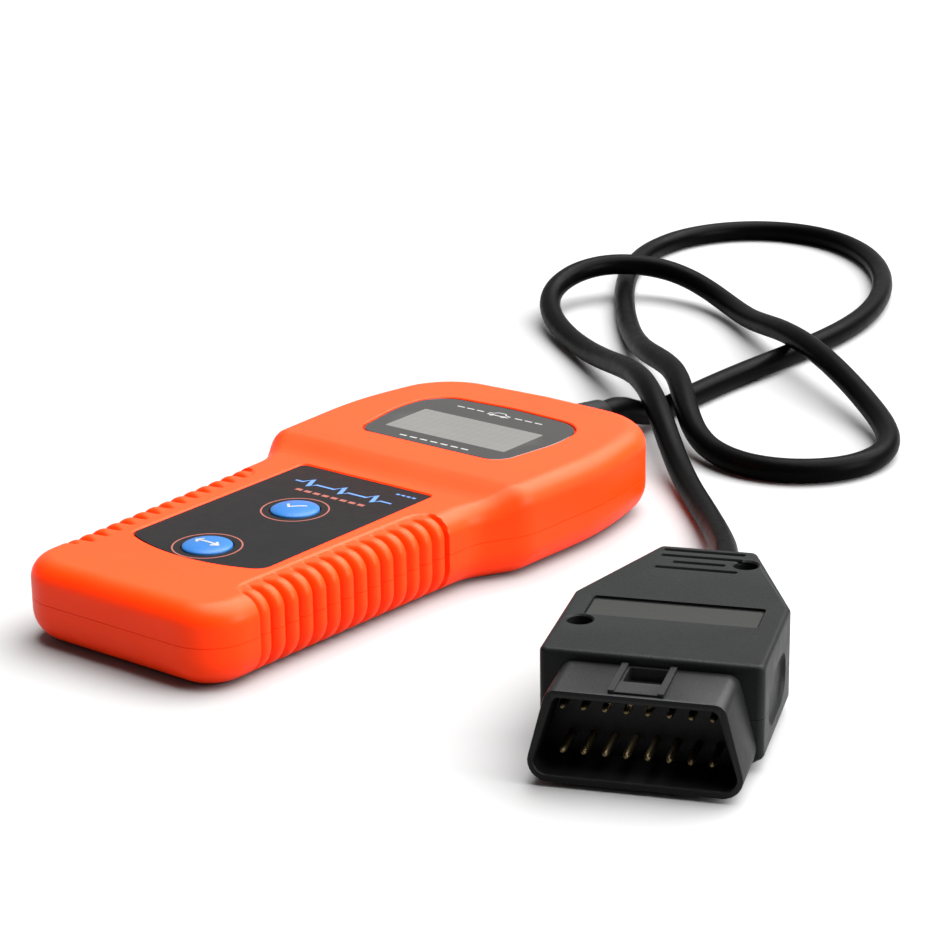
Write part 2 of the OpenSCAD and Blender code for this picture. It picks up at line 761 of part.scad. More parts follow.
module pin_row(z) {
    color("goldenrod") place_plug() for (i = [0:7]) translate([(i - 3.5) * pin_pitch, pin_tail_v, z])
        rotate([90, 0, 0]) {
            cylinder(r = pin_w / 2, h = pin_tail_v - pin_tip_v - 0.6, $fn = 24);
            translate([0, 0, pin_tail_v - pin_tip_v - 0.6])
                cylinder(r1 = pin_w / 2, r2 = pin_w / 4, h = 0.6, $fn = 24);
        }
}

module plug_pins_upper() { pin_row(pin_mid_z + row_gap / 2); }
module plug_pins_lower() { pin_row(pin_mid_z - row_gap / 2); }

// Rubber bush that grips the cord in the plug's end wall
module plug_grommet() {
    color([0.1, 0.1, 0.1]) place_plug() translate([0, 0, plug_exit_z]) rotate([90, 0, 0]) {
        cylinder(r = grommet_r, h = plug_wall + 0.1);
        translate([0, 0, plug_wall + 0.1]) cylinder(r = 5.4, h = 2);
        translate([0, 0, plug_wall + 2.1]) cylinder(r1 = 5.4, r2 = 3.4, h = 4);
    }
}

// Cores from the grommet to the pins that a reader uses
module plug_cores() {
    used = [[1, 1], [3, -1], [5, -1], [7, 1]];
    color("red") place_plug() for (i = [0:3])
        rod([(i - 1.5) * 1.5, -8.2, plug_exit_z], [(used[i][0] - 3.5) * pin_pitch,
            pin_tail_v + 0.1, pin_mid_z + used[i][1] * row_gap / 2], core_r);
}

module plug_screws() {
    color("dimgray") place_plug() at_each(plug_screw_uv)
        translate([0, 0, plug_h - plug_screw_sink]) mirror([0, 0, 1]) screw_up(2.2, 1.6, plug_screw_r, 13);
}

// Block in the outline of the plug's label, wider by d all round
module plug_label_block(d, z0, z1) {
    translate([-plug_label_w / 2 - d, plug_label_v - plug_label_l / 2 - d, z0])
        cube([plug_label_w + 2 * d, plug_label_l + 2 * d, z1 - z0]);
}

module plug_label() {
    low_z = plug_h - plug_label_sink;
    color([0.32, 0.32, 0.31]) place_plug() plug_label_block(0, low_z, low_z + 0.25);
}

front_shell();
rear_shell();
display_lens();
keypad_overlay();
enter_button();
scroll_button();
main_board();
lcd_glass();
lcd_frame();
lcd_backlight();
lcd_header();
enter_switch_base();
enter_switch_plunger();
enter_switch_dome();
scroll_switch_base();
scroll_switch_plunger();
scroll_switch_dome();
microcontroller();
can_transceiver();
crystal();
voltage_regulator();
capacitors();
cable_header();
cable_header_plug();
cable_cores();
housing_screws();
board_screws();
rear_label();
strain_relief();
cable();
plug_bottom_cover();
plug_top_cover();
plug_connector_shell();
plug_pins_upper();
plug_pins_lower();
plug_grommet();
plug_cores();
plug_screws();
plug_label();
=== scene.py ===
"""Looks of the car code reader: its two shells, keypad, display, cord and diagnostic plug."""
import math

import bpy
from mathutils import Matrix, Vector


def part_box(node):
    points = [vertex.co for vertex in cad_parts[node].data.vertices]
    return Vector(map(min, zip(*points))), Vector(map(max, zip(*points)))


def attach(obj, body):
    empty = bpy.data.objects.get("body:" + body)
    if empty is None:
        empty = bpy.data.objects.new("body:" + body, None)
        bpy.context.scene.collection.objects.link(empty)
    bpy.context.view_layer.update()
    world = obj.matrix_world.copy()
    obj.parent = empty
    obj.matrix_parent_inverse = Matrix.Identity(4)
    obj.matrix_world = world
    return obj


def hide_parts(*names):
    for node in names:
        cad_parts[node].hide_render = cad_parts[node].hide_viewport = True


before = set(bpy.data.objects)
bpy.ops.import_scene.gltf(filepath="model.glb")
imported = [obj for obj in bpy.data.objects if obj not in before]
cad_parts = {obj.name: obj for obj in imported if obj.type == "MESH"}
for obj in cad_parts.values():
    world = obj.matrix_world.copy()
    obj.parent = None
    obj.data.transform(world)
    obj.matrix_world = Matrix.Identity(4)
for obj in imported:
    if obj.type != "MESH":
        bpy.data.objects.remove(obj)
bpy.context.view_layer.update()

MM = 0.001


# ---- Sizes in millimetres, from the frame where it has them, else as in the CAD ----

def box_mm(node):
    """Lowest and highest corner of a CAD node, in millimetres."""
    low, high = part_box(node)
    return Vector(low) / MM, Vector(high) / MM


REAR_LOW, REAR_HIGH = box_mm("rear_shell")
FRONT_LOW, FRONT_HIGH = box_mm("front_shell")
LENS_LOW, LENS_HIGH = box_mm("display_lens")
OVERLAY_LOW, OVERLAY_HIGH = box_mm("keypad_overlay")
ENTER_LOW, ENTER_HIGH = box_mm("enter_button")
SCROLL_LOW, SCROLL_HIGH = box_mm("scroll_button")
RELIEF_LOW, RELIEF_HIGH = box_mm("strain_relief")
REAR_LABEL_LOW, REAR_LABEL_HIGH = box_mm("rear_label")
PLUG_LOW, PLUG_HIGH = box_mm("plug_top_cover")
PLUG_LABEL_LOW, PLUG_LABEL_HIGH = box_mm("plug_label")

HALF_L = (REAR_HIGH.y - REAR_LOW.y) / 2
PART_Z = FRONT_LOW.z
HEAD_Z = FRONT_HIGH.z
FACE_Z = HEAD_Z - 2.5
TOP_R = 4.7
BOTTOM_R = 7.0
CROWN_STEPS = 12     # rings round the top edge
BELLY_STEPS = 14     # rings round the bottom edge
WALL = 3.4
GRIP_CEILING_Z = FACE_Z - 2.8
HEAD_CEILING_Z = HEAD_Z - 2.9
FLOOR_Z = 2.6
SEAM = 0.25          # depth of the groove between two shells
SEAM_HALF = 0.06     # half its width
SHELL_GAP = 0.01     # keeps the lower shell's rim clear of the upper one's

# Corners of the right half of the outline: x, y, radius, how x and y move with an inset, +1 where it
# bulges or -1 where it hollows, steps round the corner, steps of the straight run that follows
BODY_CORNERS = [
    (28.5, -HALF_L, 10.5, -1, 1, 1, 12, 196),
    (31.3, 5, 12, -1, 0, -1, 9, 3),
    (37.5, 16, 12, -1, 0, 1, 10, 6),
    (38.9, 45, 80, -1, 0, 1, 10, 6),
    (33.1, HALF_L - 1.4, 18, -1, -1, 1, 14, 12),
]
END_STEPS = 12       # steps of half the grip's end

RAMP_Y0 = 8.2        # the top rises from the keypad face to the display face between these
RAMP_Y1 = 16.8

RIB_FIRST_Y = -8.2
RIB_PITCH = 4.15
RIB_COUNT = 13
RIB_DEPTH = 1.9
RIB_RIM_INSET = 8.3
RIB_CORNER_R = 4.5
RIB_OVERRUN = 1.06   # how far the ribbed panel runs past its end ribs, in pitches
RIB_PANEL_SINK = (0.32, 0.12)    # how deep the ribs' crests lie at the panel's rim and on its wall
RIM_INSETS = (5.2, 5.8, 6.4, 7.0, 7.4, 7.7, 7.9, 8.1, 8.3, 8.5)

LENS_Y = 43.5
LENS_HALF_W = 24.0
LENS_HALF_L = 16.8
WINDOW_W = 35.0
WINDOW_L = 15.2
WINDOW_Y = 40.8

LABEL_HALF_W = 19.0
LABEL_TOP_Y = 5.9
LABEL_LOW_Y = -50.0
LABEL_BOW = 4.3
LABEL_TOP_R = 1.5
LABEL_LOW_R = 3.2
RECESS_Z = OVERLAY_LOW.z

KEY_R = 5.4
KEY_HOLE_R = 5.65
KEY_FLANGE_R = 6.6
KEY_FLANGE_T = 0.8
KEY_RING_R = 7.41
KEY_SHOULDER_Z = FACE_Z - 0.1
KEY_TOP_Z = ENTER_HIGH.z
ENTER_Y = (ENTER_LOW.y + ENTER_HIGH.y) / 2
SCROLL_Y = (SCROLL_LOW.y + SCROLL_HIGH.y) / 2

EXIT_Z = (RELIEF_LOW.z + RELIEF_HIGH.z) / 2

HOUSING_SCREWS = [(-19, -66), (19, -66), (-28.5, 57), (28.5, 57)]
BOSS_R = 3.6
THREAD_R = 1.2

# Plug, in its own frame: u across, v from the cord's end (0) towards the mouth (negative)
PLUG_PLACE = Matrix.Translation((91, 6, 0)) @ Matrix.Rotation(math.radians(23), 4, "Z")
PLUG_HALF_W = 21.4
PLUG_L = 59.5
PLUG_CORNERS = [(PLUG_HALF_W, -PLUG_L, 1.5, -1, 1), (PLUG_HALF_W, -29, 2, -1, 0), (10, 0, 1.5, -1, -1)]
PLUG_TOP_Z = PLUG_HIGH.z
PLUG_SPLIT_Z = PLUG_LOW.z
PLUG_WALL = 2.0
PLUG_LOW_CHAMFER = 3.0
PLUG_EXIT_Z = 11.0
PLUG_SCREWS = [(-17, -43.8), (9, -8)]
PLUG_SCREW_SINK = 4.0
PLUG_EDGE_R = 1.0
PLUG_GRIP_V = -44.0
PLUG_GROOVES = [(-2.6, -8.4, 7.4), (-5.8, -8.4, 7.4), (-9.2, -5.4, 4.4), (-12.6, -8.4, 7.4)]    # v, u0, u1
PLUG_LABEL_V = -35.8
MOUTH_V = -74.0
SHROUD_LOW_Z = 1.0
SHROUD_TOP_Z = 19.5
SHROUD_LOW_HALF = 21.3
SHROUD_TOP_HALF = 16.6
SHROUD_WALL = 1.5
SHROUD_FLOOR_V = -63.0
SHROUD_BACK_V = -58.0
PIN_PITCH = 4.0
PIN_ROW_Z = (11 - 8.9 / 2, 11 + 8.9 / 2)
PIN_TAIL_V = -51.0
RIDGE_U = 4.6        # distance of the shell's guide ridges from its middle

# The cord's route from the strain relief to the plug, in metres
CORD_D = 0.006
CORD_ROUTE = [
    (0, .096, .010), (0, .105, .010), (-.001, .117, .003), (-.003, .140, .003), (-.003, .168, .003),
    (-.001, .198, .003), (-.003, .230, .003), (-.015, .262, .003), (-.035, .290, .003),
    (-.060, .306, .003), (-.085, .303, .003), (-.100, .281, .003), (-.097, .251, .003),
    (-.083, .224, .003), (-.065, .198, .003), (-.046, .175, .003), (-.026, .154, .007),
    (-.005, .137, .011), (.010, .118, .008), (.025, .103, .003), (.047, .099, .003),
    (.063, .113, .003), (.062, .135, .003), (.044, .153, .005), (.020, .170, .010),
    (-.004, .187, .010), (-.026, .205, .004), (-.046, .221, .004), (-.068, .228, .009),
    (-.087, .214, .011), (-.088, .190, .007), (-.070, .171, .003), (-.038, .149, .004),
    (-.006, .122, .014), (.013, .103, .010), (.031, .085, .003), (.051, .066, .003),
    (.069, .046, .005), (.083, .025, .011), (.091, .006, .011),
]


# ---- Camera ----

def linked(name, data):
    """New object with this data, in the scene."""
    obj = bpy.data.objects.new(name, data)
    bpy.context.scene.collection.objects.link(obj)
    return obj


def make_camera():
    """Camera at the photograph's place: 38 degrees to the right of the reader's axis, 19 above."""
    turn = math.radians(38.18)
    pitch = math.radians(18.93)
    roll = math.radians(-0.84)
    place = (0.3897, -0.4508, 0.2245)
    look = Vector((-math.sin(turn) * math.cos(pitch), math.cos(turn) * math.cos(pitch), -math.sin(pitch)))
    right = Vector((math.cos(turn), math.sin(turn), 0))
    up = right.cross(look)
    x_axis = right * math.cos(roll) + up * math.sin(roll)
    y_axis = up * math.cos(roll) - right * math.sin(roll)
    data = bpy.data.cameras.new("camera")
    data.lens = 107.6
    data.sensor_width = 36
    data.clip_end = 20
    camera = linked("camera", data)
    axes = Matrix((x_axis, y_axis, -look)).transposed().to_4x4()
    camera.matrix_world = Matrix.Translation(place) @ axes
    bpy.context.scene.camera = camera


make_camera()


# ---- Materials ----

def node_graph(name):
    """A new material's node tree with its shader and the object coordinates."""
    mat = bpy.data.materials.new(name)
    mat.use_nodes = True
    tree = mat.node_tree
    shader = tree.nodes["Principled BSDF"]
    coords = tree.nodes.new("ShaderNodeTexCoord").outputs["Object"]
    return mat, tree, shader, coords


def put(node, values):
    """Sets inputs of a node by their names."""
    for socket, value in values.items():
        node.inputs[socket].default_value = value


def noise(tree, coords, scale, detail=3.0, rough=0.5, stretch=None):
    """Noise value at a scale in features per metre."""
    if stretch:
        mapping = tree.nodes.new("ShaderNodeMapping")
        put(mapping, {"Scale": stretch})
        tree.links.new(coords, mapping.inputs["Vector"])
        coords = mapping.outputs["Vector"]
    node = tree.nodes.new("ShaderNodeTexNoise")
    put(node, {"Scale": scale, "Detail": detail, "Roughness": rough})
    tree.links.new(coords, node.inputs["Vector"])
    return node.outputs["Fac"]


def ramp(tree, value, stops):
    """Colour ramp through (position, colour) stops."""
    node = tree.nodes.new("ShaderNodeValToRGB")
    elements = node.color_ramp.elements
    while len(elements) < len(stops):
        elements.new(0.5)
    for element, (place, colour) in zip(elements, stops):
        element.position = place
        element.color = (*colour, 1)
    tree.links.new(value, node.inputs["Fac"])
    return node.outputs["Color"]


def spread(tree, value, low, high, start=0.3, end=0.7):
    """Value from start to end mapped to low to high."""
    node = tree.nodes.new("ShaderNodeMapRange")
    put(node, {"From Min": start, "From Max": end, "To Min": low, "To Max": high})
    tree.links.new(value, node.inputs["Value"])
    return node.outputs["Result"]


def tinted(colour, factor):
    """Colour made darker or lighter."""
    return tuple(min(1.0, c * factor) for c in colour)


def mix(tree, amount, below, above):
    """Colour below, with the colour above laid over it by amount."""
    node = tree.nodes.new("ShaderNodeMix")
    node.data_type = "RGBA"
    tree.links.new(amount, node.inputs["Factor"])
    tree.links.new(below, node.inputs["A"])
    if isinstance(above, tuple):
        node.inputs["B"].default_value = (*above, 1)
    else:
        tree.links.new(above, node.inputs["B"])
    return node.outputs["Result"]


def finish(name, colour, roughness, mottle=0.05, mottle_scale=90, grain=0.1, grain_scale=2600,
           edge=None, dust=None, rough_spread=0.05, stretch=None, metallic=0.0, coat=0.0,
           coat_roughness=0.08, specular=0.5, tint=(1, 1, 1)):
    """Moulded or metal finish: cloudy colour, grain as bump, uneven gloss, painted highlights on convex
    edges, dust.
    """
    mat, tree, shader, coords = node_graph(name)
    clouds = noise(tree, coords, mottle_scale, detail=4)
    base = ramp(tree, clouds, [(0.3, tinted(colour, 1 - mottle)), (0.7, tinted(colour, 1 + mottle))])
    if edge:
        geometry = tree.nodes.new("ShaderNodeNewGeometry")
        # Pointiness picks out convex edges; the edge colour laid there is a painted highlight.
        edge_highlight = ramp(tree, geometry.outputs["Pointiness"], [(0.52, (0, 0, 0)), (0.62, (1, 1, 1))])
        base = mix(tree, edge_highlight, base, edge)
    if dust:
        specks = ramp(tree, noise(tree, coords, 1300, detail=2), [(0.68, (0, 0, 0)), (0.78, (1, 1, 1))])
        base = mix(tree, specks, base, dust)
    tree.links.new(base, shader.inputs["Base Color"])
    gloss = noise(tree, coords, mottle_scale * 2.5, detail=5, rough=0.65, stretch=stretch)
    tree.links.new(spread(tree, gloss, roughness - rough_spread, roughness + rough_spread),
                   shader.inputs["Roughness"])
    if grain:
        bump = tree.nodes.new("ShaderNodeBump")
        put(bump, {"Strength": grain, "Distance": 0.0002})
        tree.links.new(noise(tree, coords, grain_scale, detail=2, stretch=stretch), bump.inputs["Height"])
        tree.links.new(bump.outputs["Normal"], shader.inputs["Normal"])
    put(shader, {"Metallic": metallic, "Coat Weight": coat, "Coat Roughness": coat_roughness,
                 "Specular IOR Level": specular, "Specular Tint": (*tint, 1)})
    return mat


def board_finish():
    """Green solder mask with lighter tracks and tinned pads."""
    mat, tree, shader, coords = node_graph("board_mask")
    brick = tree.nodes.new("ShaderNodeTexBrick")
    put(brick, {"Scale": 260, "Mortar Size": 0.06, "Color1": (0.008, 0.09, 0.03, 1),
                "Color2": (0.010, 0.11, 0.035, 1), "Mortar": (0.03, 0.21, 0.07, 1)})
    tree.links.new(coords, brick.inputs["Vector"])
    pads = tree.nodes.new("ShaderNodeTexVoronoi")
    put(pads, {"Scale": 330})
    tree.links.new(coords, pads.inputs["Vector"])
    spots = ramp(tree, pads.outputs["Distance"], [(0.12, (1, 1, 1)), (0.15, (0, 0, 0))])
    tree.links.new(mix(tree, spots, brick.outputs["Color"], (0.55, 0.5, 0.4)), shader.inputs["Base Color"])
    tree.links.new(spread(tree, noise(tree, coords, 400), 0.28, 0.4), shader.inputs["Roughness"])
    return mat


def window_finish():
    """Display under a clear window: grey with a faint grid of character cells."""
    mat, tree, shader, coords = node_graph("display_window")
    mapping = tree.nodes.new("ShaderNodeMapping")
    put(mapping, {"Location": (0, (WINDOW_L / 2 - WINDOW_Y) * MM, 0)})
    tree.links.new(coords, mapping.inputs["Vector"])
    cells = tree.nodes.new("ShaderNodeTexBrick")
    cells.offset = 0
    put(cells, {"Scale": 1, "Brick Width": 0.0021, "Row Height": 0.0038, "Mortar Size": 0.00012,
                "Mortar Smooth": 0.4, "Color1": (0.092, 0.0906, 0.0856, 1),
                "Color2": (0.095, 0.0936, 0.0886, 1), "Mortar": (0.106, 0.1046, 0.0996, 1)})
    tree.links.new(mapping.outputs["Vector"], cells.inputs["Vector"])
    haze = ramp(tree, noise(tree, coords, 45), [(0.3, (0.94, 0.94, 0.94)), (0.7, (1, 1, 1))])
    blend = tree.nodes.new("ShaderNodeMix")
    blend.data_type = "RGBA"
    blend.blend_type = "MULTIPLY"
    put(blend, {"Factor": 1})
    tree.links.new(cells.outputs["Color"], blend.inputs["A"])
    tree.links.new(haze, blend.inputs["B"])
    tree.links.new(blend.outputs["Result"], shader.inputs["Base Color"])
    tree.links.new(spread(tree, noise(tree, coords, 160), 0.12, 0.2), shader.inputs["Roughness"])
    put(shader, {"Specular IOR Level": 0.3})
    return mat


# Each edge colour below is a painted highlight along convex edges, as on the display cover's bevel.
ORANGE = finish("orange_shell", (1.0, 0.034, 0.0008), 0.42, mottle=0.04, mottle_scale=35, grain=0.12,
                grain_scale=3200, specular=0.16, tint=(1.0, 0.9, 0.6))
OVERLAY = finish("overlay_film", (0.0078, 0.0074, 0.0076), 0.45, mottle=0.06, grain=0.16, grain_scale=5200,
                 specular=0.035)
LENS = finish("lens_panel", (0.0135, 0.0130, 0.0122), 0.16, mottle=0.05, grain=0.01, grain_scale=900,
              edge=(0.05, 0.05, 0.05), coat=0.08, coat_roughness=0.04, specular=0.24)
BUTTON_BLUE = finish("button_blue", (0.011, 0.080, 0.24), 0.36, mottle=0.05, grain=0.08,
                     edge=(0.02, 0.11, 0.30), specular=0.16)
PLUG_GREY = finish("plug_housing", (0.0050, 0.0052, 0.0052), 0.42, mottle=0.08, grain=0.28, grain_scale=2300,
                   edge=(0.016, 0.017, 0.017), dust=(0.012, 0.012, 0.012), specular=0.07)
PLUG_BLACK = finish("connector_shell", (0.0042, 0.0043, 0.0045), 0.42, mottle=0.08, grain=0.2,
                    grain_scale=2600, edge=(0.009, 0.009, 0.009), specular=0.12)
PLUG_LABEL = finish("plug_label_panel", (0.0088, 0.0086, 0.0076), 0.5, mottle=0.07, mottle_scale=60,
                    grain=0.1, grain_scale=1900, edge=(0.022, 0.022, 0.02), specular=0.085)
CORD_BLACK = finish("cord_sheath", (0.0009, 0.0009, 0.0009), 0.36, mottle=0.12, mottle_scale=120,
                    grain=0.14, grain_scale=1600, dust=(0.002, 0.002, 0.002), specular=0.02)
RUBBER = finish("moulded_rubber", (0.0036, 0.0037, 0.0038), 0.45, mottle=0.1, grain=0.2, grain_scale=1500,
                edge=(0.008, 0.008, 0.008), dust=(0.008, 0.008, 0.008), specular=0.08)
# The pins' brass is made far darker than brass: painted shade of the connector shell's dark inside, where
# the pins sit.
PIN_BRASS = finish("pin_brass", (0.13, 0.10, 0.055), 0.42, mottle=0.1, mottle_scale=500, grain=0.05,
                   stretch=(1, 1, 6), metallic=1.0)
SILVER_LABEL = finish("silver_label", (0.17, 0.173, 0.176), 0.36, mottle=0.03, grain=0.08, grain_scale=4000,
                      stretch=(1, 14, 1), metallic=0.6)
STEEL = finish("zinc_steel", (0.17, 0.17, 0.17), 0.36, mottle=0.08, mottle_scale=300, grain=0.08,
               metallic=1.0)
BLACK_PLASTIC = finish("black_plastic", (0.018, 0.018, 0.019), 0.5, mottle=0.1, grain=0.2,
                       edge=(0.05, 0.05, 0.05))
WHITE_PLASTIC = finish("white_plastic", (0.74, 0.71, 0.64), 0.45, mottle=0.04, grain=0.12)
GLASS = finish("lcd_glass_face", (0.27, 0.31, 0.25), 0.1, mottle=0.03, grain=0.0, coat=1.0)
CAP_BLUE = finish("capacitor_sleeve", (0.02, 0.05, 0.22), 0.3, mottle=0.06, grain=0.06, coat=0.3)
CORE_RED = finish("core_sheath", (0.42, 0.015, 0.012), 0.42, mottle=0.08, grain=0.08)
BOARD = board_finish()
WINDOW = window_finish()
INK_WHITE = finish("ink_white", (0.2, 0.2, 0.197), 0.5, mottle=0.04, grain=0.05)
INK_BLUE = finish("ink_blue", (0.035, 0.115, 0.30), 0.5, mottle=0.05, grain=0.05)
INK_RED = finish("ink_red", (0.17, 0.030, 0.018), 0.5, mottle=0.06, grain=0.05)
INK_DARK = finish("ink_dark", (0.03, 0.03, 0.03), 0.5, mottle=0.06, grain=0.05)

# Materials of the pieces that keep their CAD shapes
NODE_MATERIALS = [
    (BOARD, ["main_board"]), (GLASS, ["lcd_glass"]), (CAP_BLUE, ["capacitors"]), (RUBBER, ["plug_grommet"]),
    (CORE_RED, ["cable_cores", "plug_cores"]),
    (BLACK_PLASTIC, ["lcd_frame", "lcd_header", "microcontroller", "can_transceiver", "voltage_regulator",
                     "enter_switch_base", "enter_switch_plunger", "scroll_switch_base",
                     "scroll_switch_plunger"]),
    (WHITE_PLASTIC, ["lcd_backlight", "cable_header", "cable_header_plug"]),
    (STEEL, ["enter_switch_dome", "scroll_switch_dome", "crystal", "housing_screws", "board_screws",
             "plug_screws"]),
]


# ---- Solids: (points, faces), in millimetres ----

def unit2(v):
    size = math.hypot(*v)
    return (v[0] / size, v[1] / size)


def arc_corner(a, p, b, radius, steps):
    """Points of the arc that rounds the corner p between its neighbours a and b."""
    ua = unit2((a[0] - p[0], a[1] - p[1]))
    ub = unit2((b[0] - p[0], b[1] - p[1]))
    half = math.acos(max(-1, min(1, ua[0] * ub[0] + ua[1] * ub[1]))) / 2
    middle = unit2((ua[0] + ub[0], ua[1] + ub[1]))
    reach = radius / math.sin(half)
    centre = (p[0] + middle[0] * reach, p[1] + middle[1] * reach)
    run = radius / math.tan(half)
    start = math.atan2(p[1] + ua[1] * run - centre[1], p[0] + ua[0] * run - centre[0])
    end = math.atan2(p[1] + ub[1] * run - centre[1], p[0] + ub[0] * run - centre[0])
    sweep = (end - start + math.pi) % (2 * math.pi) - math.pi
    angles = [start + sweep * k / steps for k in range(steps + 1)]
    return [(centre[0] + radius * math.cos(t), centre[1] + radius * math.sin(t)) for t in angles]


def rounded(corners, steps):
    """Rounded polygon through (x, y, radius) corners; a radius of 0 keeps the corner."""
    points = []
    for i, (x, y, radius) in enumerate(corners):
        before, after = corners[i - 1][:2], corners[(i + 1) % len(corners)][:2]
        points += arc_corner(before, (x, y), after, radius, steps) if radius else [(x, y)]
    return points


def between(a, b, steps):
    """Points inside the straight run from a to b."""
    return [(a[0] + (b[0] - a[0]) * k / steps, a[1] + (b[1] - a[1]) * k / steps) for k in range(1, steps)]


def at_z(outline, z):
    return [(x, y, z) for x, y in outline]


def quarter_turn(steps):
    """Cosine and sine of the angles that round an edge, after the first one."""
    return [(math.cos(math.pi / 2 * k / steps), math.sin(math.pi / 2 * k / steps))
            for k in range(1, steps + 1)]


def loft(rings, low_cap=True, high_cap=True):
    """Closed skin through rings with equal numbers of points, lowest ring first, anticlockwise."""
    count = len(rings[0])
    points = [p for ring in rings for p in ring]
    faces = []
    for k in range(len(rings) - 1):
        for i in range(count):
            j = (i + 1) % count
            faces.append((k * count + i, k * count + j, (k + 1) * count + j, (k + 1) * count + i))
    if low_cap:
        faces.append(tuple(reversed(range(count))))
    if high_cap:
        top = (len(rings) - 1) * count
        faces.append(tuple(top + i for i in range(count)))
    return points, faces


def ladder_cap(base, half, straight, upwards):
    """Strips across a ring whose second half mirrors its first. The first face takes in the straight
    run of that many steps on each side of the ring's first point."""
    count = 2 * half
    faces = [[i % count for i in range(-straight - 1, straight + 2)]]
    faces += [[i, i + 1, count - i - 1, count - i] for i in range(straight + 1, half - 1)]
    faces.append([half - 1, half, half + 1])
    return [tuple(base + i for i in (face if upwards else reversed(face))) for face in faces]


def merge(*solids):
    """Solids side by side as one."""
    points, faces = [], []
    for more_points, more_faces in solids:
        start = len(points)
        points += more_points
        faces += [tuple(start + i for i in face) for face in more_faces]
    return points, faces


def moved(solid, matrix):
    return [tuple(matrix @ Vector(p)) for p in solid[0]], solid[1]


def laid(x, y, z, degrees=90):
    """Place for a turned solid whose axis lies along Y: it runs towards -Y, or towards +Y at -90."""
    return Matrix.Translation((x, y, z)) @ Matrix.Rotation(math.radians(degrees), 4, "X")


def flipped(solid):
    return solid[0], [tuple(reversed(face)) for face in solid[1]]


def prism(outline, z0, z1):
    return loft([at_z(outline, z0), at_z(outline, z1)])


def block(x0, x1, y0, y1, z0, z1, r=0.0):
    """Box, with its four upright edges rounded by r."""
    corners = [(x0, y0, r), (x1, y0, r), (x1, y1, r), (x0, y1, r)]
    return prism(rounded(corners, 4), z0, z1)


def lathe(profile, centre=(0, 0, 0), sides=64):
    """Solid turned about the upright axis through centre. profile is (r, z), from the axis at the
    bottom, round the outside, to the axis at the top."""
    points = [(centre[0], centre[1], centre[2] + profile[0][1])]
    for r, z in profile[1:-1]:
        for k in range(sides):
            t = 2 * math.pi * k / sides
            points.append((centre[0] + r * math.cos(t), centre[1] + r * math.sin(t), centre[2] + z))
    points.append((centre[0], centre[1], centre[2] + profile[-1][1]))
    last = len(points) - 1
    faces = []
    for k in range(sides):
        j = (k + 1) % sides
        faces.append((0, 1 + j, 1 + k))
        for ring in range(len(profile) - 3):
            low, high = 1 + ring * sides, 1 + (ring + 1) * sides
            faces.append((low + k, low + j, high + j, high + k))
        top = 1 + (len(profile) - 3) * sides
        faces.append((top + k, top + j, last))
    return points, faces


def ribbon(path, width, height_at, thickness, closed=False):
    """Thin raised line of ink along a flat path, on the surface whose height is height_at(x, y)."""
    stations = []
    count = len(path)
    for i, (x, y) in enumerate(path):
        before = path[i - 1] if closed or i else path[i]
        after = path[(i + 1) % count] if closed or i < count - 1 else path[i]
        along = unit2((after[0] - before[0], after[1] - before[1]))
        a = unit2((x - before[0], y - before[1])) if before != path[i] else along
        b = unit2((after[0] - x, after[1] - y)) if after != path[i] else along
        mitre = max(0.5, math.sqrt(max(0.0, (1 + a[0] * b[0] + a[1] * b[1]) / 2)))
        nx, ny = -along[1] * width / 2 / mitre, along[0] * width / 2 / mitre
        left, right = (x + nx, y + ny), (x - nx, y - ny)
        stations.append([
            (*right, height_at(*right) - thickness), (*right, height_at(*right) + thickness),
            (*left, height_at(*left) + thickness), (*left, height_at(*left) - thickness)])
    points = [p for s in stations for p in s]
    faces = []
    for i in range(count if closed else count - 1):
        j = (i + 1) % count
        for k in range(4):
            n = (k + 1) % 4
            faces.append((4 * i + k, 4 * j + k, 4 * j + n, 4 * i + n))
    if not closed:
        faces.append((0, 1, 2, 3))
        last = 4 * (count - 1)
        faces.append((last + 3, last + 2, last + 1, last))
    return points, faces


def circle(x, y, r, steps=72):
    return [(x + r * math.cos(2 * math.pi * k / steps), y + r * math.sin(2 * math.pi * k / steps))
            for k in range(steps)]


def make_object(name, solid):
    """Object from a solid, at true size in metres."""
    mesh = bpy.data.meshes.new(name)
    mesh.from_pydata([tuple(c * MM for c in p) for p in solid[0]], [], solid[1])
    return linked(name, mesh)


def boolean(obj, solid, operation="DIFFERENCE"):
    """Cuts the solid out of obj, or joins it on. The solid's own parts don't touch each other."""
    tool = make_object("tool", solid)
    modifier = obj.modifiers.new("boolean", "BOOLEAN")
    modifier.operation = operation
    modifier.solver = "EXACT"
    modifier.object = tool
    done = bpy.data.meshes.new_from_object(obj.evaluated_get(bpy.context.evaluated_depsgraph_get()))
    obj.modifiers.clear()
    obj.data = done
    bpy.data.objects.remove(tool)


def dress(obj, material, nodes=(), body="root", sharp=32):
    """Gives a piece its material, its shading and its body, and hides the CAD parts it stands in for."""
    mesh = obj.data
    mesh.materials.clear()
    mesh.materials.append(material)
    mesh.shade_smooth()
    mesh.set_sharp_from_angle(angle=math.radians(sharp))
    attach(obj, body)
    if nodes:
        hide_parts(*nodes)
    return obj


def smoothstep(low, high, value):
    t = max(0.0, min(1.0, (value - low) / (high - low)))
    return t * t * (3 - 2 * t)


# ---- Cord ----

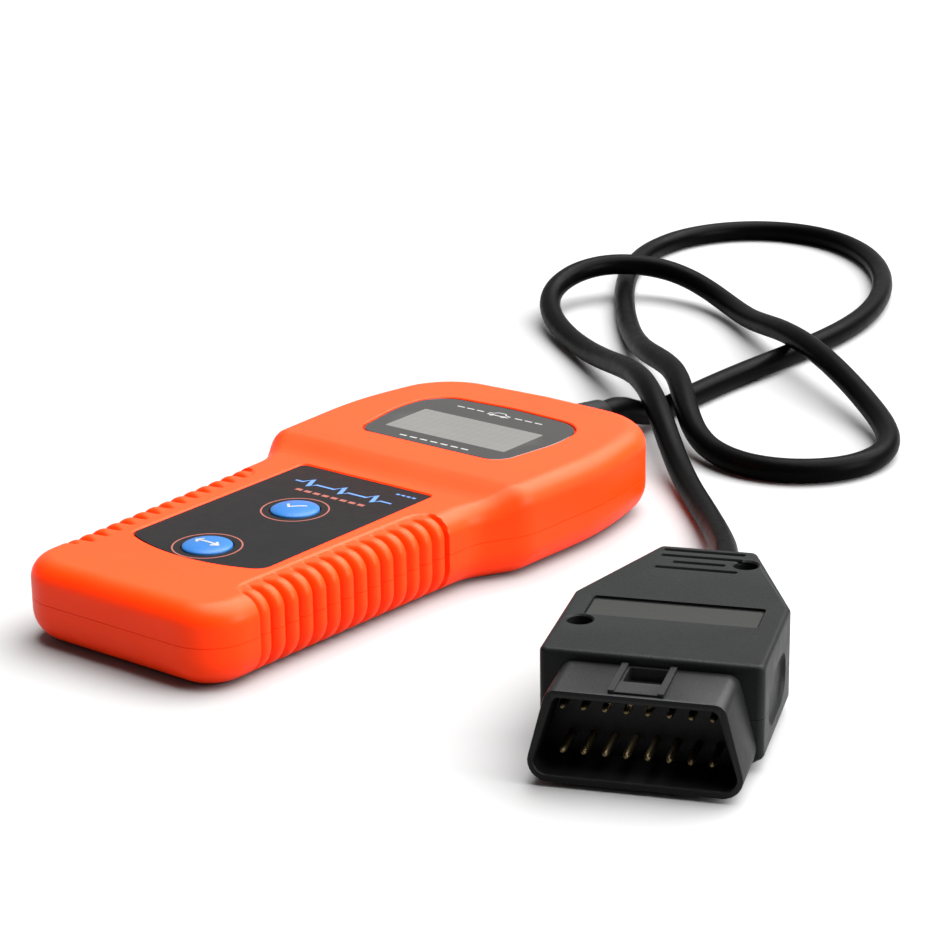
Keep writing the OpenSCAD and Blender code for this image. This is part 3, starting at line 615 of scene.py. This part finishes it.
def make_cord():
    """Cord as one smooth curve: a uniform cubic B-spline through its route, as in the CAD."""
    route = [Vector(p) for p in CORD_ROUTE]
    controls = [2 * route[0] - route[1]] + route + [2 * route[-1] - route[-2]]
    curve = bpy.data.curves.new("cord", "CURVE")
    curve.dimensions = "3D"
    curve.bevel_depth = CORD_D / 2
    curve.bevel_resolution = 8
    curve.use_fill_caps = True
    spline = curve.splines.new("NURBS")
    spline.points.add(len(controls) - 1)
    for point, place in zip(spline.points, controls):
        point.co = (*place, 1)
    spline.order_u = 4
    spline.use_endpoint_u = False
    spline.resolution_u = 10
    spline.use_smooth = True
    curve.materials.append(CORD_BLACK)
    cord = linked("cord", curve)
    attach(cord, "root")
    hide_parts("cable")
    return cord


cord = make_cord()


# ---- Reader shells ----

def half_outline(inset):
    """Right half of the reader's outline, from the middle of the grip's end to the middle of the
    display's end."""
    corners = [(x + mx * inset, y + my * inset, max(0.5, r - sign * inset))
               for x, y, r, mx, my, sign, _, _ in BODY_CORNERS]
    start, tip = (0, -HALF_L + inset), (0, HALF_L - inset)
    line = [start] + [c[:2] for c in corners] + [tip]
    arcs = [arc_corner(line[i], line[i + 1], line[i + 2], corners[i][2], BODY_CORNERS[i][6])
            for i in range(len(corners))]
    points = [start] + between(start, arcs[0][0], END_STEPS)
    for i, arc in enumerate(arcs):
        after = arcs[i + 1][0] if i + 1 < len(arcs) else tip
        points += arc + between(arc[-1], after, BODY_CORNERS[i][7])
    return points + [tip]


def whole_outline(inset):
    right = half_outline(inset)
    return right + [(-x, y) for x, y in reversed(right[1:-1])]


def top_z(y):
    """Height of the top face: the keypad face, a soft ramp, then the display face."""
    return FACE_Z + (HEAD_Z - FACE_Z) * smoothstep(RAMP_Y0, RAMP_Y1, y)


def rib_sink(y, reach):
    """How deep the ribbed panel lies at y along the grip, reach over the surface from its top rim."""
    far = RIB_FIRST_Y + RIB_OVERRUN * RIB_PITCH
    near = RIB_FIRST_Y - (RIB_COUNT - 1 + RIB_OVERRUN) * RIB_PITCH
    past_side = abs(y - (far + near) / 2) - ((far - near) / 2 - RIB_CORNER_R)
    inside = RIB_CORNER_R - math.hypot(max(past_side, 0), max(RIB_CORNER_R - reach, 0))
    mask = smoothstep(0, 0.6, inside)
    if not mask:
        return 0.0
    phase = max(-1.0, min(float(RIB_COUNT), (RIB_FIRST_Y - y) / RIB_PITCH))
    off_crest = abs(2 * (phase - math.floor(phase)) - 1)
    depth = smoothstep(0.3, 4.0, reach)
    sharpness = 3.0 + 4 * (1 - depth)
    at_rim, on_wall = RIB_PANEL_SINK
    return mask * (at_rim + (on_wall - at_rim) * depth + RIB_DEPTH * depth * off_crest ** sharpness)


def shell_ring(inset, height, lean, reach, fade=1.0):
    """One ring of the shell's skin. lean is the surface's slope, 0 on the wall and +-90 degrees on a
    flat face; the ribs sink it along its normal."""
    ring = []
    for x, y in whole_outline(inset):
        z = height(y)
        sink = rib_sink(y, reach(z)) * fade
        side = math.copysign(1, x)
        ring.append((x - side * sink * math.cos(lean), y, z - sink * math.sin(lean)))
    return ring


FLAT_REACH = RIB_RIM_INSET - TOP_R
WALL_REACH = FLAT_REACH + TOP_R * math.pi / 2


def wall_reach(z):
    return WALL_REACH + max(0.0, FACE_Z - TOP_R - z)


def front_skin():
    """Upper shell's skin: the wall from the seam up, the rounded edge, then the flat face's rim."""
    wall_low_z = PART_Z + SEAM_HALF
    rings = [shell_ring(SEAM, lambda y: PART_Z, 0, wall_reach)]
    for share in (0.0, 0.5, 1.0):
        rings.append(shell_ring(
            0, lambda y, s=share: wall_low_z + (top_z(y) - TOP_R - wall_low_z) * s, 0, wall_reach))
    for k in range(1, CROWN_STEPS + 1):
        lean = math.pi / 2 * k / CROWN_STEPS
        rings.append(shell_ring(
            TOP_R * (1 - math.cos(lean)), lambda y, t=lean: top_z(y) - TOP_R * (1 - math.sin(t)), lean,
            lambda z, t=lean: FLAT_REACH + TOP_R * (math.pi / 2 - t)))
    for inset in RIM_INSETS:
        rings.append(shell_ring(inset, top_z, math.pi / 2, lambda z, d=inset: RIB_RIM_INSET - d))
    points, faces = loft(rings, False, False)
    half = len(rings[0]) // 2
    faces += ladder_cap(0, half, END_STEPS, False)
    faces += ladder_cap((len(rings) - 1) * 2 * half, half, END_STEPS, True)
    return points, faces


def rear_skin():
    """Lower shell's skin: the rounded edge from the table up, then the wall to the seam."""
    rings = []
    for k in range(BELLY_STEPS + 1):
        lean = math.pi / 2 * (1 - k / BELLY_STEPS)
        z = BOTTOM_R * (1 - math.sin(lean))
        rings.append(shell_ring(
            BOTTOM_R * (1 - math.cos(lean)), lambda y, h=z: h, -lean, wall_reach, smoothstep(0.3, 2.5, z)))
    rings.append(shell_ring(0, lambda y: PART_Z - SEAM_HALF, 0, wall_reach))
    rings.append(shell_ring(SEAM, lambda y: PART_Z - SHELL_GAP, 0, wall_reach))
    points, faces = loft(rings, False, False)
    half = len(rings[0]) // 2
    faces += ladder_cap(0, half, END_STEPS, False)
    faces += ladder_cap((len(rings) - 1) * 2 * half, half, END_STEPS, True)
    return points, faces


def inner_outline(inset, from_y=-1000.0):
    """Plain outline for the cavity, coarser than the skin's, cut off below from_y."""
    right = [p for i, p in enumerate(half_outline(inset)) if i % 4 == 0 or p[1] > 0]
    if from_y > -HALF_L:
        right = [p for p in right if p[1] > from_y]
        right = [(right[0][0], from_y)] + right
    return right + [(-x, y) for x, y in reversed(right) if x]


def lens_outline(inset):
    """Display cover: wide at its middle, drawn in towards both ends, each edge slightly bowed."""
    w, l = LENS_HALF_W - inset, LENS_HALF_L - inset
    shape = [(w - 3, -l, 5.5), (w, 2, 30), (w - 1.8, l - 1.5, 9), (0, l, 60), (1.8 - w, l - 1.5, 9),
             (-w, 2, 30), (3 - w, -l, 5.5)]
    return [(x, y + LENS_Y) for x, y in rounded(shape, 9)]


def label_outline(inset):
    """Keypad label: rounded corners, most at the bottom, where the edge bows outwards."""
    bow_steps = 8
    w = LABEL_HALF_W - inset
    low = LABEL_LOW_Y + inset
    bow_r = (w * w + LABEL_BOW ** 2) / (2 * LABEL_BOW)
    half = math.asin(w / bow_r)
    angles = [half * k / bow_steps for k in range(1 - bow_steps, bow_steps)]
    bow = [(bow_r * math.sin(t), low - LABEL_BOW + bow_r * (1 - math.cos(t)), 0) for t in angles]
    top, top_r, low_r = LABEL_TOP_Y - inset, LABEL_TOP_R - inset, LABEL_LOW_R - inset
    return rounded([(w, low, low_r), (w, top, top_r), (-w, top, top_r), (-w, low, low_r)] + bow, 8)


def recess_cutter(outline, floor_z, face_z, lip=0.3):
    """Recess with a chamfered lip."""
    return loft([at_z(outline(0), floor_z), at_z(outline(0), face_z - lip), at_z(outline(-lip), face_z),
                 at_z(outline(-lip), face_z + 1)])


def lying_tube(y0, y1, r, z):
    """Round bar along Y through x = 0."""
    return moved(lathe([(0, 0), (r, 0), (r, y1 - y0), (0, y1 - y0)], sides=48), laid(0, y1, z))


def relief_passage():
    """Hole in the display's end wall for the waist of the strain relief."""
    hole_r = 4.15
    return lying_tube(HALF_L - WALL - 2, HALF_L + 2, hole_r, EXIT_Z)


def post(x, y, r, z0, z1, sides=32):
    """Upright cylinder."""
    return lathe([(0, z0), (r, z0), (r, z1), (0, z1)], (x, y, 0), sides)


def make_front_shell():
    """Upper shell with its cavity, screw bosses, recesses, key holes and the hole under the window."""
    head_inset, head_y = WALL + 1.8, RAMP_Y1 + 2.2
    obj = make_object("housing_front", front_skin())
    boolean(obj, prism(inner_outline(WALL), PART_Z - 1, GRIP_CEILING_Z))
    boolean(obj, prism(inner_outline(head_inset, head_y), GRIP_CEILING_Z - 1, HEAD_CEILING_Z))
    bosses = [post(x, y, BOSS_R, PART_Z, top_z(y) - 2) for x, y in HOUSING_SCREWS]
    boolean(obj, merge(*bosses), "UNION")
    boolean(obj, merge(recess_cutter(label_outline, RECESS_Z, FACE_Z),
                       recess_cutter(lens_outline, LENS_LOW.z, HEAD_Z, 0.22)))
    keys = [post(0, y, KEY_HOLE_R, GRIP_CEILING_Z - 1, GRIP_CEILING_Z + 5, 64) for y in (ENTER_Y, SCROLL_Y)]
    half_w, half_l = WINDOW_W / 2 + 0.5, WINDOW_L / 2 + 0.5
    window = block(-half_w, half_w, WINDOW_Y - half_l, WINDOW_Y + half_l, HEAD_CEILING_Z - 1,
                   LENS_LOW.z + 0.5, 0.6)
    threads = [post(x, y, THREAD_R, PART_Z - 1, GRIP_CEILING_Z - 0.4, 24) for x, y in HOUSING_SCREWS]
    boolean(obj, merge(*keys, window, *threads, relief_passage()))
    return dress(obj, ORANGE, ["front_shell"])


def make_rear_shell():
    """Lower shell with its cavity, screw bosses, screw pockets and the recess for the label."""
    obj = make_object("housing_rear", rear_skin())
    boolean(obj, prism(inner_outline(WALL), FLOOR_Z, PART_Z + 1))
    bosses = [post(x, y, BOSS_R, FLOOR_Z - 0.5, PART_Z - SHELL_GAP) for x, y in HOUSING_SCREWS]
    boolean(obj, merge(*bosses), "UNION")
    hole_r, head_r, head_z, lip_r = 1.3, 2.5, 4, 2.8
    hole = [(0, -1), (lip_r, -1), (lip_r, 0), (head_r, 0.3), (head_r, head_z), (hole_r, head_z),
            (hole_r, PART_Z + 1), (0, PART_Z + 1)]
    holes = [lathe(hole, (x, y, 0), 40) for x, y in HOUSING_SCREWS]
    low, high = REAR_LABEL_LOW, REAR_LABEL_HIGH
    recess = block(low.x - 0.2, high.x + 0.2, low.y - 0.2, high.y + 0.2, -1, high.z, 1.2)
    boolean(obj, merge(*holes, recess, relief_passage()))
    return dress(obj, ORANGE, ["rear_shell"])


make_front_shell()
make_rear_shell()


# ---- Display, keypad and keys ----

def flat_panel(outline, inset, z0, z1, edge):
    """Sheet with its top edge rounded."""
    rings = [at_z(outline(inset), z0), at_z(outline(inset), z1 - edge)]
    rings += [at_z(outline(inset + edge * (1 - c)), z1 - edge * (1 - s)) for c, s in quarter_turn(4)]
    rings.append(at_z(outline(inset + edge + 0.15), z1))
    return loft(rings)


def make_lens():
    """Dark display cover with the clear window set a hair below its face."""
    lens = make_object("display_cover", flat_panel(lens_outline, 0.3, LENS_LOW.z, LENS_HIGH.z, 0.25))
    window_low_z, window_top_z = LENS_HIGH.z - 0.06, LENS_HIGH.z - 0.02
    half, y0, y1 = WINDOW_W / 2, WINDOW_Y - WINDOW_L / 2, WINDOW_Y + WINDOW_L / 2
    edge = rounded([(-half, y0, 0.5), (half, y0, 0.5), (half, y1, 0.5), (-half, y1, 0.5)], 4)
    boolean(lens, prism(edge, window_low_z, LENS_HIGH.z + 1))
    dress(lens, LENS, ["display_lens"])
    narrower = [(x * 0.9995, y) for x, y in edge]
    window = make_object("display_window", prism(narrower, window_low_z, window_top_z))
    dress(window, WINDOW)


def on_lens(x, y):
    return LENS_HIGH.z


def on_overlay(x, y):
    return OVERLAY_HIGH.z


def wave(x0, x1, y, height, beats):
    """Trace of a signal: flat runs with a peak and a dip at each beat."""
    points = [(x0, y)]
    span = (x1 - x0) / beats
    shape = [(0.22, 0), (0.36, 1), (0.54, -0.7), (0.66, 0)]
    for b in range(beats):
        points += [(x0 + span * (b + s), y + height * h) for s, h in shape]
    return points + [(x1, y)]


def dashes(x0, x1, y, count, gap, width, height_at):
    """Row of short bars."""
    step = (x1 - x0 + gap) / count
    return [ribbon([(x0 + i * step, y), (x0 + (i + 1) * step - gap, y)], width, height_at, 0.03)
            for i in range(count)]


def car_sign(x, y, size):
    """Side view of a plain car as one closed line, with its two wheels."""
    body = [(-1, -0.22), (-1, 0.08), (-0.62, 0.16), (-0.38, 0.46), (0.3, 0.46), (0.6, 0.14), (1, 0.06),
            (1, -0.22)]
    lines = [ribbon([(x + size * u, y + size * v) for u, v in body], 0.34, on_lens, 0.03, closed=True)]
    for u in (-0.56, 0.56):
        lines.append(ribbon(circle(x + size * u, y - size * 0.26, size * 0.15, 20), 0.3, on_lens, 0.04,
                            closed=True))
    return lines


def make_marks():
    """Plain signs printed on the display cover and the keypad label."""
    white = car_sign(0, 54.4, 3.0)
    white += dashes(-12.5, -4.6, 54.4, 3, 0.8, 0.5, on_lens) + dashes(4.6, 12.5, 54.4, 3, 0.8, 0.5, on_lens)
    white += dashes(-10, 10, 29.6, 7, 1.0, 0.6, on_lens)
    dress(make_object("display_marks", merge(*white)), INK_WHITE)
    blue = [ribbon(wave(-13, 14.6, -3.5, 2.3, 3), 0.62, on_overlay, 0.03)]
    blue += dashes(11.4, 16.8, 2.2, 4, 0.5, 0.7, on_overlay)
    dress(make_object("keypad_blue_marks", merge(*blue)), INK_BLUE)
    red = [ribbon(circle(0, y, KEY_RING_R), 0.36, on_overlay, 0.03, closed=True)
           for y in (ENTER_Y, SCROLL_Y)]
    red += dashes(-9, 10.6, -8.0, 8, 0.8, 1.1, on_overlay)
    dress(make_object("keypad_red_marks", merge(*red)), INK_RED)


def make_overlay():
    """Keypad label with a chamfered hole round each key."""
    obj = make_object("keypad_label", flat_panel(label_outline, 0.25, OVERLAY_LOW.z, OVERLAY_HIGH.z, 0.12))
    holes = [lathe([(0, RECESS_Z - 1), (KEY_HOLE_R, RECESS_Z - 1), (KEY_HOLE_R, OVERLAY_HIGH.z - 0.1),
                    (KEY_HOLE_R + 0.1, OVERLAY_HIGH.z), (KEY_HOLE_R + 0.1, OVERLAY_HIGH.z + 1),
                    (0, OVERLAY_HIGH.z + 1)], (0, y, 0)) for y in (ENTER_Y, SCROLL_Y)]
    boolean(obj, merge(*holes))
    dress(obj, OVERLAY, ["keypad_overlay"])


def dome_z(r):
    """Height of a key's domed top at radius r."""
    faceted_r = KEY_R * 0.985    # the dome's flat facets lie a little inside its true curve
    share = min(1.0, r / faceted_r)
    return KEY_SHOULDER_Z + (KEY_TOP_Z - KEY_SHOULDER_Z) * math.sqrt(max(0.0, 1 - share * share))


def make_key(name, centre_y, body, signs):
    """Domed key on its flange, with its printed sign."""
    low_z = ENTER_LOW.z
    flange_z = low_z + KEY_FLANGE_T
    profile = [(0, low_z), (KEY_FLANGE_R, low_z), (KEY_FLANGE_R, flange_z), (KEY_R, flange_z),
               (KEY_R, KEY_SHOULDER_Z)]
    profile += [(KEY_R * c, KEY_SHOULDER_Z + (KEY_TOP_Z - KEY_SHOULDER_Z) * s)
                for c, s in quarter_turn(14)[:-1]]
    profile.append((0, KEY_TOP_Z))
    key = dress(make_object(name + "_key", lathe(profile, (0, centre_y, 0), 80)), BUTTON_BLUE,
                [name + "_button"], body)
    lines = [ribbon([(x, y + centre_y) for x, y in sign], 0.62,
                    lambda x, y: dome_z(math.hypot(x, y - centre_y)), 0.04) for sign in signs]
    dress(make_object(name + "_sign", merge(*lines)), INK_WHITE, body=body)
    return key


def fine(points, step=0.4):
    """The same line with more points on it."""
    line = [points[0]]
    for a, b in zip(points, points[1:]):
        count = max(1, round(math.dist(a, b) / step))
        line += between(a, b, count) + [b]
    return line


TICK = [fine([(-2.0, 0.1), (-0.6, -1.3), (2.2, 1.5)])]
ARROWS = [fine([(-2.9, 0), (2.9, 0)]), fine([(-1.8, 1.1), (-3.0, 0), (-1.8, -1.1)]),
          fine([(1.8, 1.1), (3.0, 0), (1.8, -1.1)])]

make_lens()
make_overlay()
make_marks()
make_key("enter", ENTER_Y, "enter_key", TICK)
make_key("scroll", SCROLL_Y, "scroll_key", ARROWS)


def make_rear_label():
    """Blank silver label with a printed border."""
    low, high = REAR_LABEL_LOW, REAR_LABEL_HIGH
    label = make_object("back_label", block(low.x, high.x, low.y, high.y, low.z, high.z, 1.0))
    dress(label, SILVER_LABEL, ["rear_label"])
    inset = 1.6
    x0, x1, y0, y1 = low.x + inset, high.x - inset, low.y + inset, high.y - inset
    border = rounded([(x0, y0, 1), (x1, y0, 1), (x1, y1, 1), (x0, y1, 1)], 4)
    lines = [ribbon(border, 0.4, lambda x, y: low.z, 0.02, closed=True)]
    for y in (low.y + 10, low.y + 20):
        lines.append(ribbon([(low.x + 4, y), (high.x - 4, y)], 0.3, lambda x, y: low.z, 0.02))
    dress(make_object("back_label_border", merge(*lines)), INK_DARK)


make_rear_label()


# ---- Strain relief ----

def make_strain_relief():
    """Moulded sleeve: collar outside the wall, a narrow waist, then a long smooth taper."""
    y0, y1 = RELIEF_LOW.y, RELIEF_HIGH.y
    inner_y, wall_y = HALF_L - WALL - 0.4, HALF_L + 0.1
    profile = [(0, y0), (5, y0), (5, inner_y), (4, inner_y), (4, wall_y),
               (5.1, wall_y), (5.55, wall_y + 0.25), (5.85, wall_y + 0.8), (5.9, wall_y + 1.6),
               (5.8, wall_y + 2.4), (5.45, wall_y + 3.1), (4.9, wall_y + 3.7), (4.3, wall_y + 4.2),
               (4.1, wall_y + 4.7), (4.3, wall_y + 5.2), (4.75, wall_y + 5.7), (5.1, wall_y + 6.3),
               (5.25, wall_y + 7.0), (5.2, wall_y + 8.2), (4.6, wall_y + 13), (3.9, y1 - 1.0),
               (3.65, y1 - 0.3), (3.3, y1), (0, y1)]
    turned = moved(lathe(profile, sides=72), laid(0, 0, EXIT_Z, -90))
    return dress(make_object("cord_sleeve", turned), RUBBER, ["strain_relief"])


sleeve = make_strain_relief()


# ---- Plug ----

def plug_outline(inset):
    """Plug seen from above: straight sides that narrow towards the cord."""
    right = [(x + mx * inset, y + my * inset, max(0.3, r - inset)) for x, y, r, mx, my in PLUG_CORNERS]
    return rounded(right + [(-x, y, r) for x, y, r in reversed(right)], 6)


def shroud_outline(inset):
    """D-shaped outline of the connector shell, across and up."""
    low, high = SHROUD_LOW_Z + inset, SHROUD_TOP_Z - inset
    low_r, high_r = 4 - inset, 2.5 - inset * 0.8
    low_half, top_half = SHROUD_LOW_HALF - inset, SHROUD_TOP_HALF - inset
    return rounded([(low_half, low, low_r), (top_half, high, high_r),
                    (-top_half, high, high_r), (-low_half, low, low_r)], 8)


def along_plug(rings):
    """Loft through outlines drawn across and up: (v, outline) from the mouth back."""
    return flipped(loft([[(u, v, z) for u, z in outline] for v, outline in rings]))


def stadium(u0, u1, v, r, steps=8):
    """Long hole with round ends."""
    angles = [math.pi * (k / steps - 0.5) for k in range(steps + 1)]
    return ([(u1 + r * math.cos(t), v + r * math.sin(t)) for t in angles]
            + [(u0 - r * math.cos(t), v - r * math.sin(t)) for t in angles])


def side_grips():
    """Finger recess on each side of the plug, with sloping walls."""
    cuts = []
    for side in (-1, 1):
        rings = []
        for depth, r in ((0.9, 4.1), (0.55, 4.7), (-0.05, 5.2), (-1.0, 5.2)):
            x = side * (PLUG_HALF_W - depth)
            shape = stadium(-5, 5, 0, r)
            rings.append([(x, PLUG_GRIP_V + a, PLUG_TOP_Z / 2 + b) for a, b in shape])
        solid = loft(rings)
        cuts.append(solid if side > 0 else flipped(solid))
    return cuts


def plug_openings():
    """Holes in the plug's end walls for the connector shell and the cord's bush."""
    front = along_plug([(-62, shroud_outline(-0.05)), (-56, shroud_outline(-0.05))])
    bush_r = 4.25
    return [front, lying_tube(-3, 1, bush_r, PLUG_EXIT_Z)]


def plug_piece(name, solid):
    return make_object(name, moved(solid, PLUG_PLACE))


def plug_cut(obj, *solids, operation="DIFFERENCE"):
    boolean(obj, moved(merge(*solids), PLUG_PLACE), operation)


def make_plug_top():
    """Upper cover: rounded top edge, screw holes, grooves at the tail and the recess for the panel."""
    edge = PLUG_EDGE_R
    rings = [at_z(plug_outline(SEAM), PLUG_SPLIT_Z), at_z(plug_outline(0), PLUG_SPLIT_Z + SEAM_HALF),
             at_z(plug_outline(0), PLUG_TOP_Z - edge)]
    rings += [at_z(plug_outline(edge * (1 - c)), PLUG_TOP_Z - edge * (1 - s)) for c, s in quarter_turn(6)]
    rings.append(at_z(plug_outline(edge + 0.2), PLUG_TOP_Z))
    obj = plug_piece("plug_cover_top", loft(rings))
    plug_cut(obj, prism(plug_outline(PLUG_WALL), PLUG_SPLIT_Z - 1, PLUG_TOP_Z - PLUG_WALL))
    bosses = [post(u, v, 3.2, PLUG_SPLIT_Z + 0.05, PLUG_TOP_Z - 1) for u, v in PLUG_SCREWS]
    plug_cut(obj, *bosses, operation="UNION")
    hole_r, head_r, lip_r = 1.1, 2.5, 2.85
    low_z, seat_z, above_z = PLUG_SPLIT_Z - 1, PLUG_TOP_Z - PLUG_SCREW_SINK, PLUG_TOP_Z + 1
    hole = [(0, low_z), (hole_r, low_z), (hole_r, seat_z), (head_r, seat_z), (head_r, PLUG_TOP_Z - 0.35),
            (lip_r, PLUG_TOP_Z), (lip_r, above_z), (0, above_z)]
    holes = [lathe(hole, (u, v, 0), 40) for u, v in PLUG_SCREWS]
    half_w, half_l, depth = 17, 5, 0.5
    recess = block(-half_w, half_w, PLUG_LABEL_V - half_l, PLUG_LABEL_V + half_l, PLUG_TOP_Z - depth,
                   above_z, 0.8)
    grooves = []
    for v, u0, u1 in PLUG_GROOVES:
        rings = [at_z(stadium(u0, u1, v, r), z) for z, r in (
            (PLUG_TOP_Z - 0.8, 0.4), (PLUG_TOP_Z - 0.2, 0.55), (PLUG_TOP_Z, 0.75), (PLUG_TOP_Z + 1, 0.75))]
        grooves.append(loft(rings))
    plug_cut(obj, recess, *side_grips(), *plug_openings())
    plug_cut(obj, *grooves)
    plug_cut(obj, *holes)
    return dress(obj, PLUG_GREY, ["plug_top_cover"])


def make_plug_bottom():
    """Lower cover with the deep chamfer round its foot."""
    low, rim_z = PLUG_LOW_CHAMFER, PLUG_SPLIT_Z - SHELL_GAP
    rows = [(low, 0), (low - 0.25, 0.02), (low - 0.05, 0.35), (0.35, low - 0.35), (0.06, low + 0.1),
            (0, low + 0.5), (0, PLUG_SPLIT_Z - SEAM_HALF), (SEAM, rim_z)]
    obj = plug_piece("plug_cover_bottom", loft([at_z(plug_outline(inset), z) for inset, z in rows]))
    plug_cut(obj, prism(plug_outline(PLUG_WALL + 1.2), PLUG_WALL, PLUG_SPLIT_Z + 1))
    bosses = [post(u, v, 2.7, PLUG_WALL - 0.2, rim_z) for u, v in PLUG_SCREWS]
    plug_cut(obj, *bosses, operation="UNION")
    holes = [post(u, v, 0.95, PLUG_WALL + 1.8, PLUG_SPLIT_Z + 1, 24) for u, v in PLUG_SCREWS]
    plug_cut(obj, *holes, *side_grips(), *plug_openings())
    return dress(obj, PLUG_GREY, ["plug_bottom_cover"])


def make_connector_shell():
    """D-shaped shell: rounded lip, two guide ridges, a window between them, the block for the pins."""
    lip, top, wall = 0.3, SHROUD_TOP_Z, SHROUD_WALL
    ridge_v0, ridge_v1 = MOUTH_V + 1, -PLUG_L - 0.4
    rings = [(MOUTH_V, shroud_outline(lip)), (MOUTH_V + 0.3 * lip, shroud_outline(0.3 * lip)),
             (MOUTH_V + lip, shroud_outline(0)), (SHROUD_BACK_V, shroud_outline(0))]
    obj = plug_piece("connector_body", along_plug(rings))
    ridges = [block(u - 0.6, u + 0.6, ridge_v0, ridge_v1, top - 0.6, top + 0.7, 0.25)
              for u in (-RIDGE_U, RIDGE_U)]
    plug_cut(obj, *ridges, operation="UNION")
    bridge = block(0.4 - RIDGE_U, RIDGE_U - 0.4, ridge_v0, MOUTH_V + 6, top - 0.6, top + 0.4, 0.2)
    plug_cut(obj, bridge, operation="UNION")
    mouth = along_plug([(MOUTH_V - 1, shroud_outline(wall - 0.2)), (MOUTH_V, shroud_outline(wall - 0.2)),
                        (MOUTH_V + 0.2, shroud_outline(wall)), (SHROUD_FLOOR_V, shroud_outline(wall + 0.1))])
    plug_cut(obj, mouth)
    half, window_v, window_l = RIDGE_U - 1, MOUTH_V + 6.6, 7
    plug_cut(obj, block(-half, half, window_v, window_v + window_l, top - wall - 1, top + 1, 0.3))
    sockets = []
    for z in PIN_ROW_Z:
        for i in range(8):
            sockets.append(moved(lathe([(0, 0), (0.8, 0), (0.8, 7), (0, 7)], sides=20),
                                 laid((i - 3.5) * PIN_PITCH, SHROUD_BACK_V + 1, z)))
    plug_cut(obj, *sockets)
    return dress(obj, PLUG_BLACK, ["plug_connector_shell"])


def make_pins(name, z):
    """Row of eight round pins with tapered, rounded tips."""
    profile = [(0, 0), (0.7, 0), (0.75, 0.1), (0.75, 19.2), (0.7, 19.9), (0.58, 20.5), (0.38, 20.85),
               (0.18, 20.98), (0, 21)]
    pins = [moved(lathe(profile, sides=24), laid((i - 3.5) * PIN_PITCH, PIN_TAIL_V, z)) for i in range(8)]
    row = plug_piece(name.replace("plug_pins", "contact_row"), merge(*pins))
    return dress(row, PIN_BRASS, [name])


def make_plug_label():
    """Label panel, set against the near edge of its recess."""
    z0, z1 = PLUG_LABEL_LOW.z, PLUG_LABEL_HIGH.z
    half, v0, v1, r = 16.7, PLUG_LABEL_V - 4.7, PLUG_LABEL_V + 3.6, 0.7
    shape = rounded([(-half, v0, r), (half, v0, r), (half, v1, r), (-half, v1, r)], 4)
    solid = loft([at_z(shape, z0), at_z(shape, z1 - 0.06), at_z([(u * 0.996, v) for u, v in shape], z1)])
    return dress(plug_piece("plug_panel", solid), PLUG_LABEL, ["plug_label"])


plug_top = make_plug_top()
plug_bottom = make_plug_bottom()
connector = make_connector_shell()
contacts_low = make_pins("plug_pins_lower", PIN_ROW_Z[0])
contacts_high = make_pins("plug_pins_upper", PIN_ROW_Z[1])
panel = make_plug_label()

for material, nodes in NODE_MATERIALS:
    for node in nodes:
        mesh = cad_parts[node].data
        mesh.materials.clear()
        mesh.materials.append(material)

on_the_cord = [sleeve, plug_top, plug_bottom, connector, contacts_low, contacts_high, panel]
on_the_cord += [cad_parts[name] for name in ("plug_grommet", "plug_cores", "plug_screws")]


# ---- Stage and light ----

def make_floor():
    """Wide sheet of paper under the object."""
    half = 6.0
    mesh = bpy.data.meshes.new("floor")
    corners = [(-half, -half, 0), (half, -half, 0), (half, half, 0), (-half, half, 0)]
    mesh.from_pydata(corners, [], [(0, 1, 2, 3)])
    mesh.materials.append(finish("floor_paper", (0.28, 0.28, 0.28), 0.8, mottle=0.004, mottle_scale=2,
                                 grain=0.0, specular=0.1))
    linked("floor", mesh)


def area_light(name, place, aim, size, power):
    data = bpy.data.lights.new(name, "AREA")
    data.shape = "RECTANGLE"
    data.size, data.size_y = size
    data.energy = power
    light = linked(name, data)
    light.location = place
    light.rotation_euler = (Vector(aim) - Vector(place)).to_track_quat("-Z", "Y").to_euler()


def sun_light(name, towards, angle, strength):
    data = bpy.data.lights.new(name, "SUN")
    data.angle = math.radians(angle)
    data.energy = strength
    light = linked(name, data)
    light.rotation_euler = Vector(towards).to_track_quat("-Z", "Y").to_euler()


def make_light():
    """White studio: one broad sun, three weak panels and a low even sky."""
    world = bpy.data.worlds.new("studio")
    world.use_nodes = True
    put(world.node_tree.nodes["Background"], {"Color": (1, 1, 1, 1), "Strength": 0.13})
    bpy.context.scene.world = world
    sun_light("window", (-0.2, -0.45, -1), angle=75, strength=12.6)
    area_light("overhead", (-0.05, 0.35, 0.95), (0, 0.03, 0), size=(1.1, 0.9), power=3)
    area_light("right_side", (1.0, 0.35, 0.34), (0.03, 0, 0.02), size=(0.6, 0.5), power=13)
    area_light("backdrop", (-0.95, 1.2, 0.62), (0, 0, 0), size=(2.2, 1.1), power=4)
    bpy.context.scene.view_settings.view_transform = "Standard"


make_floor()
make_light()
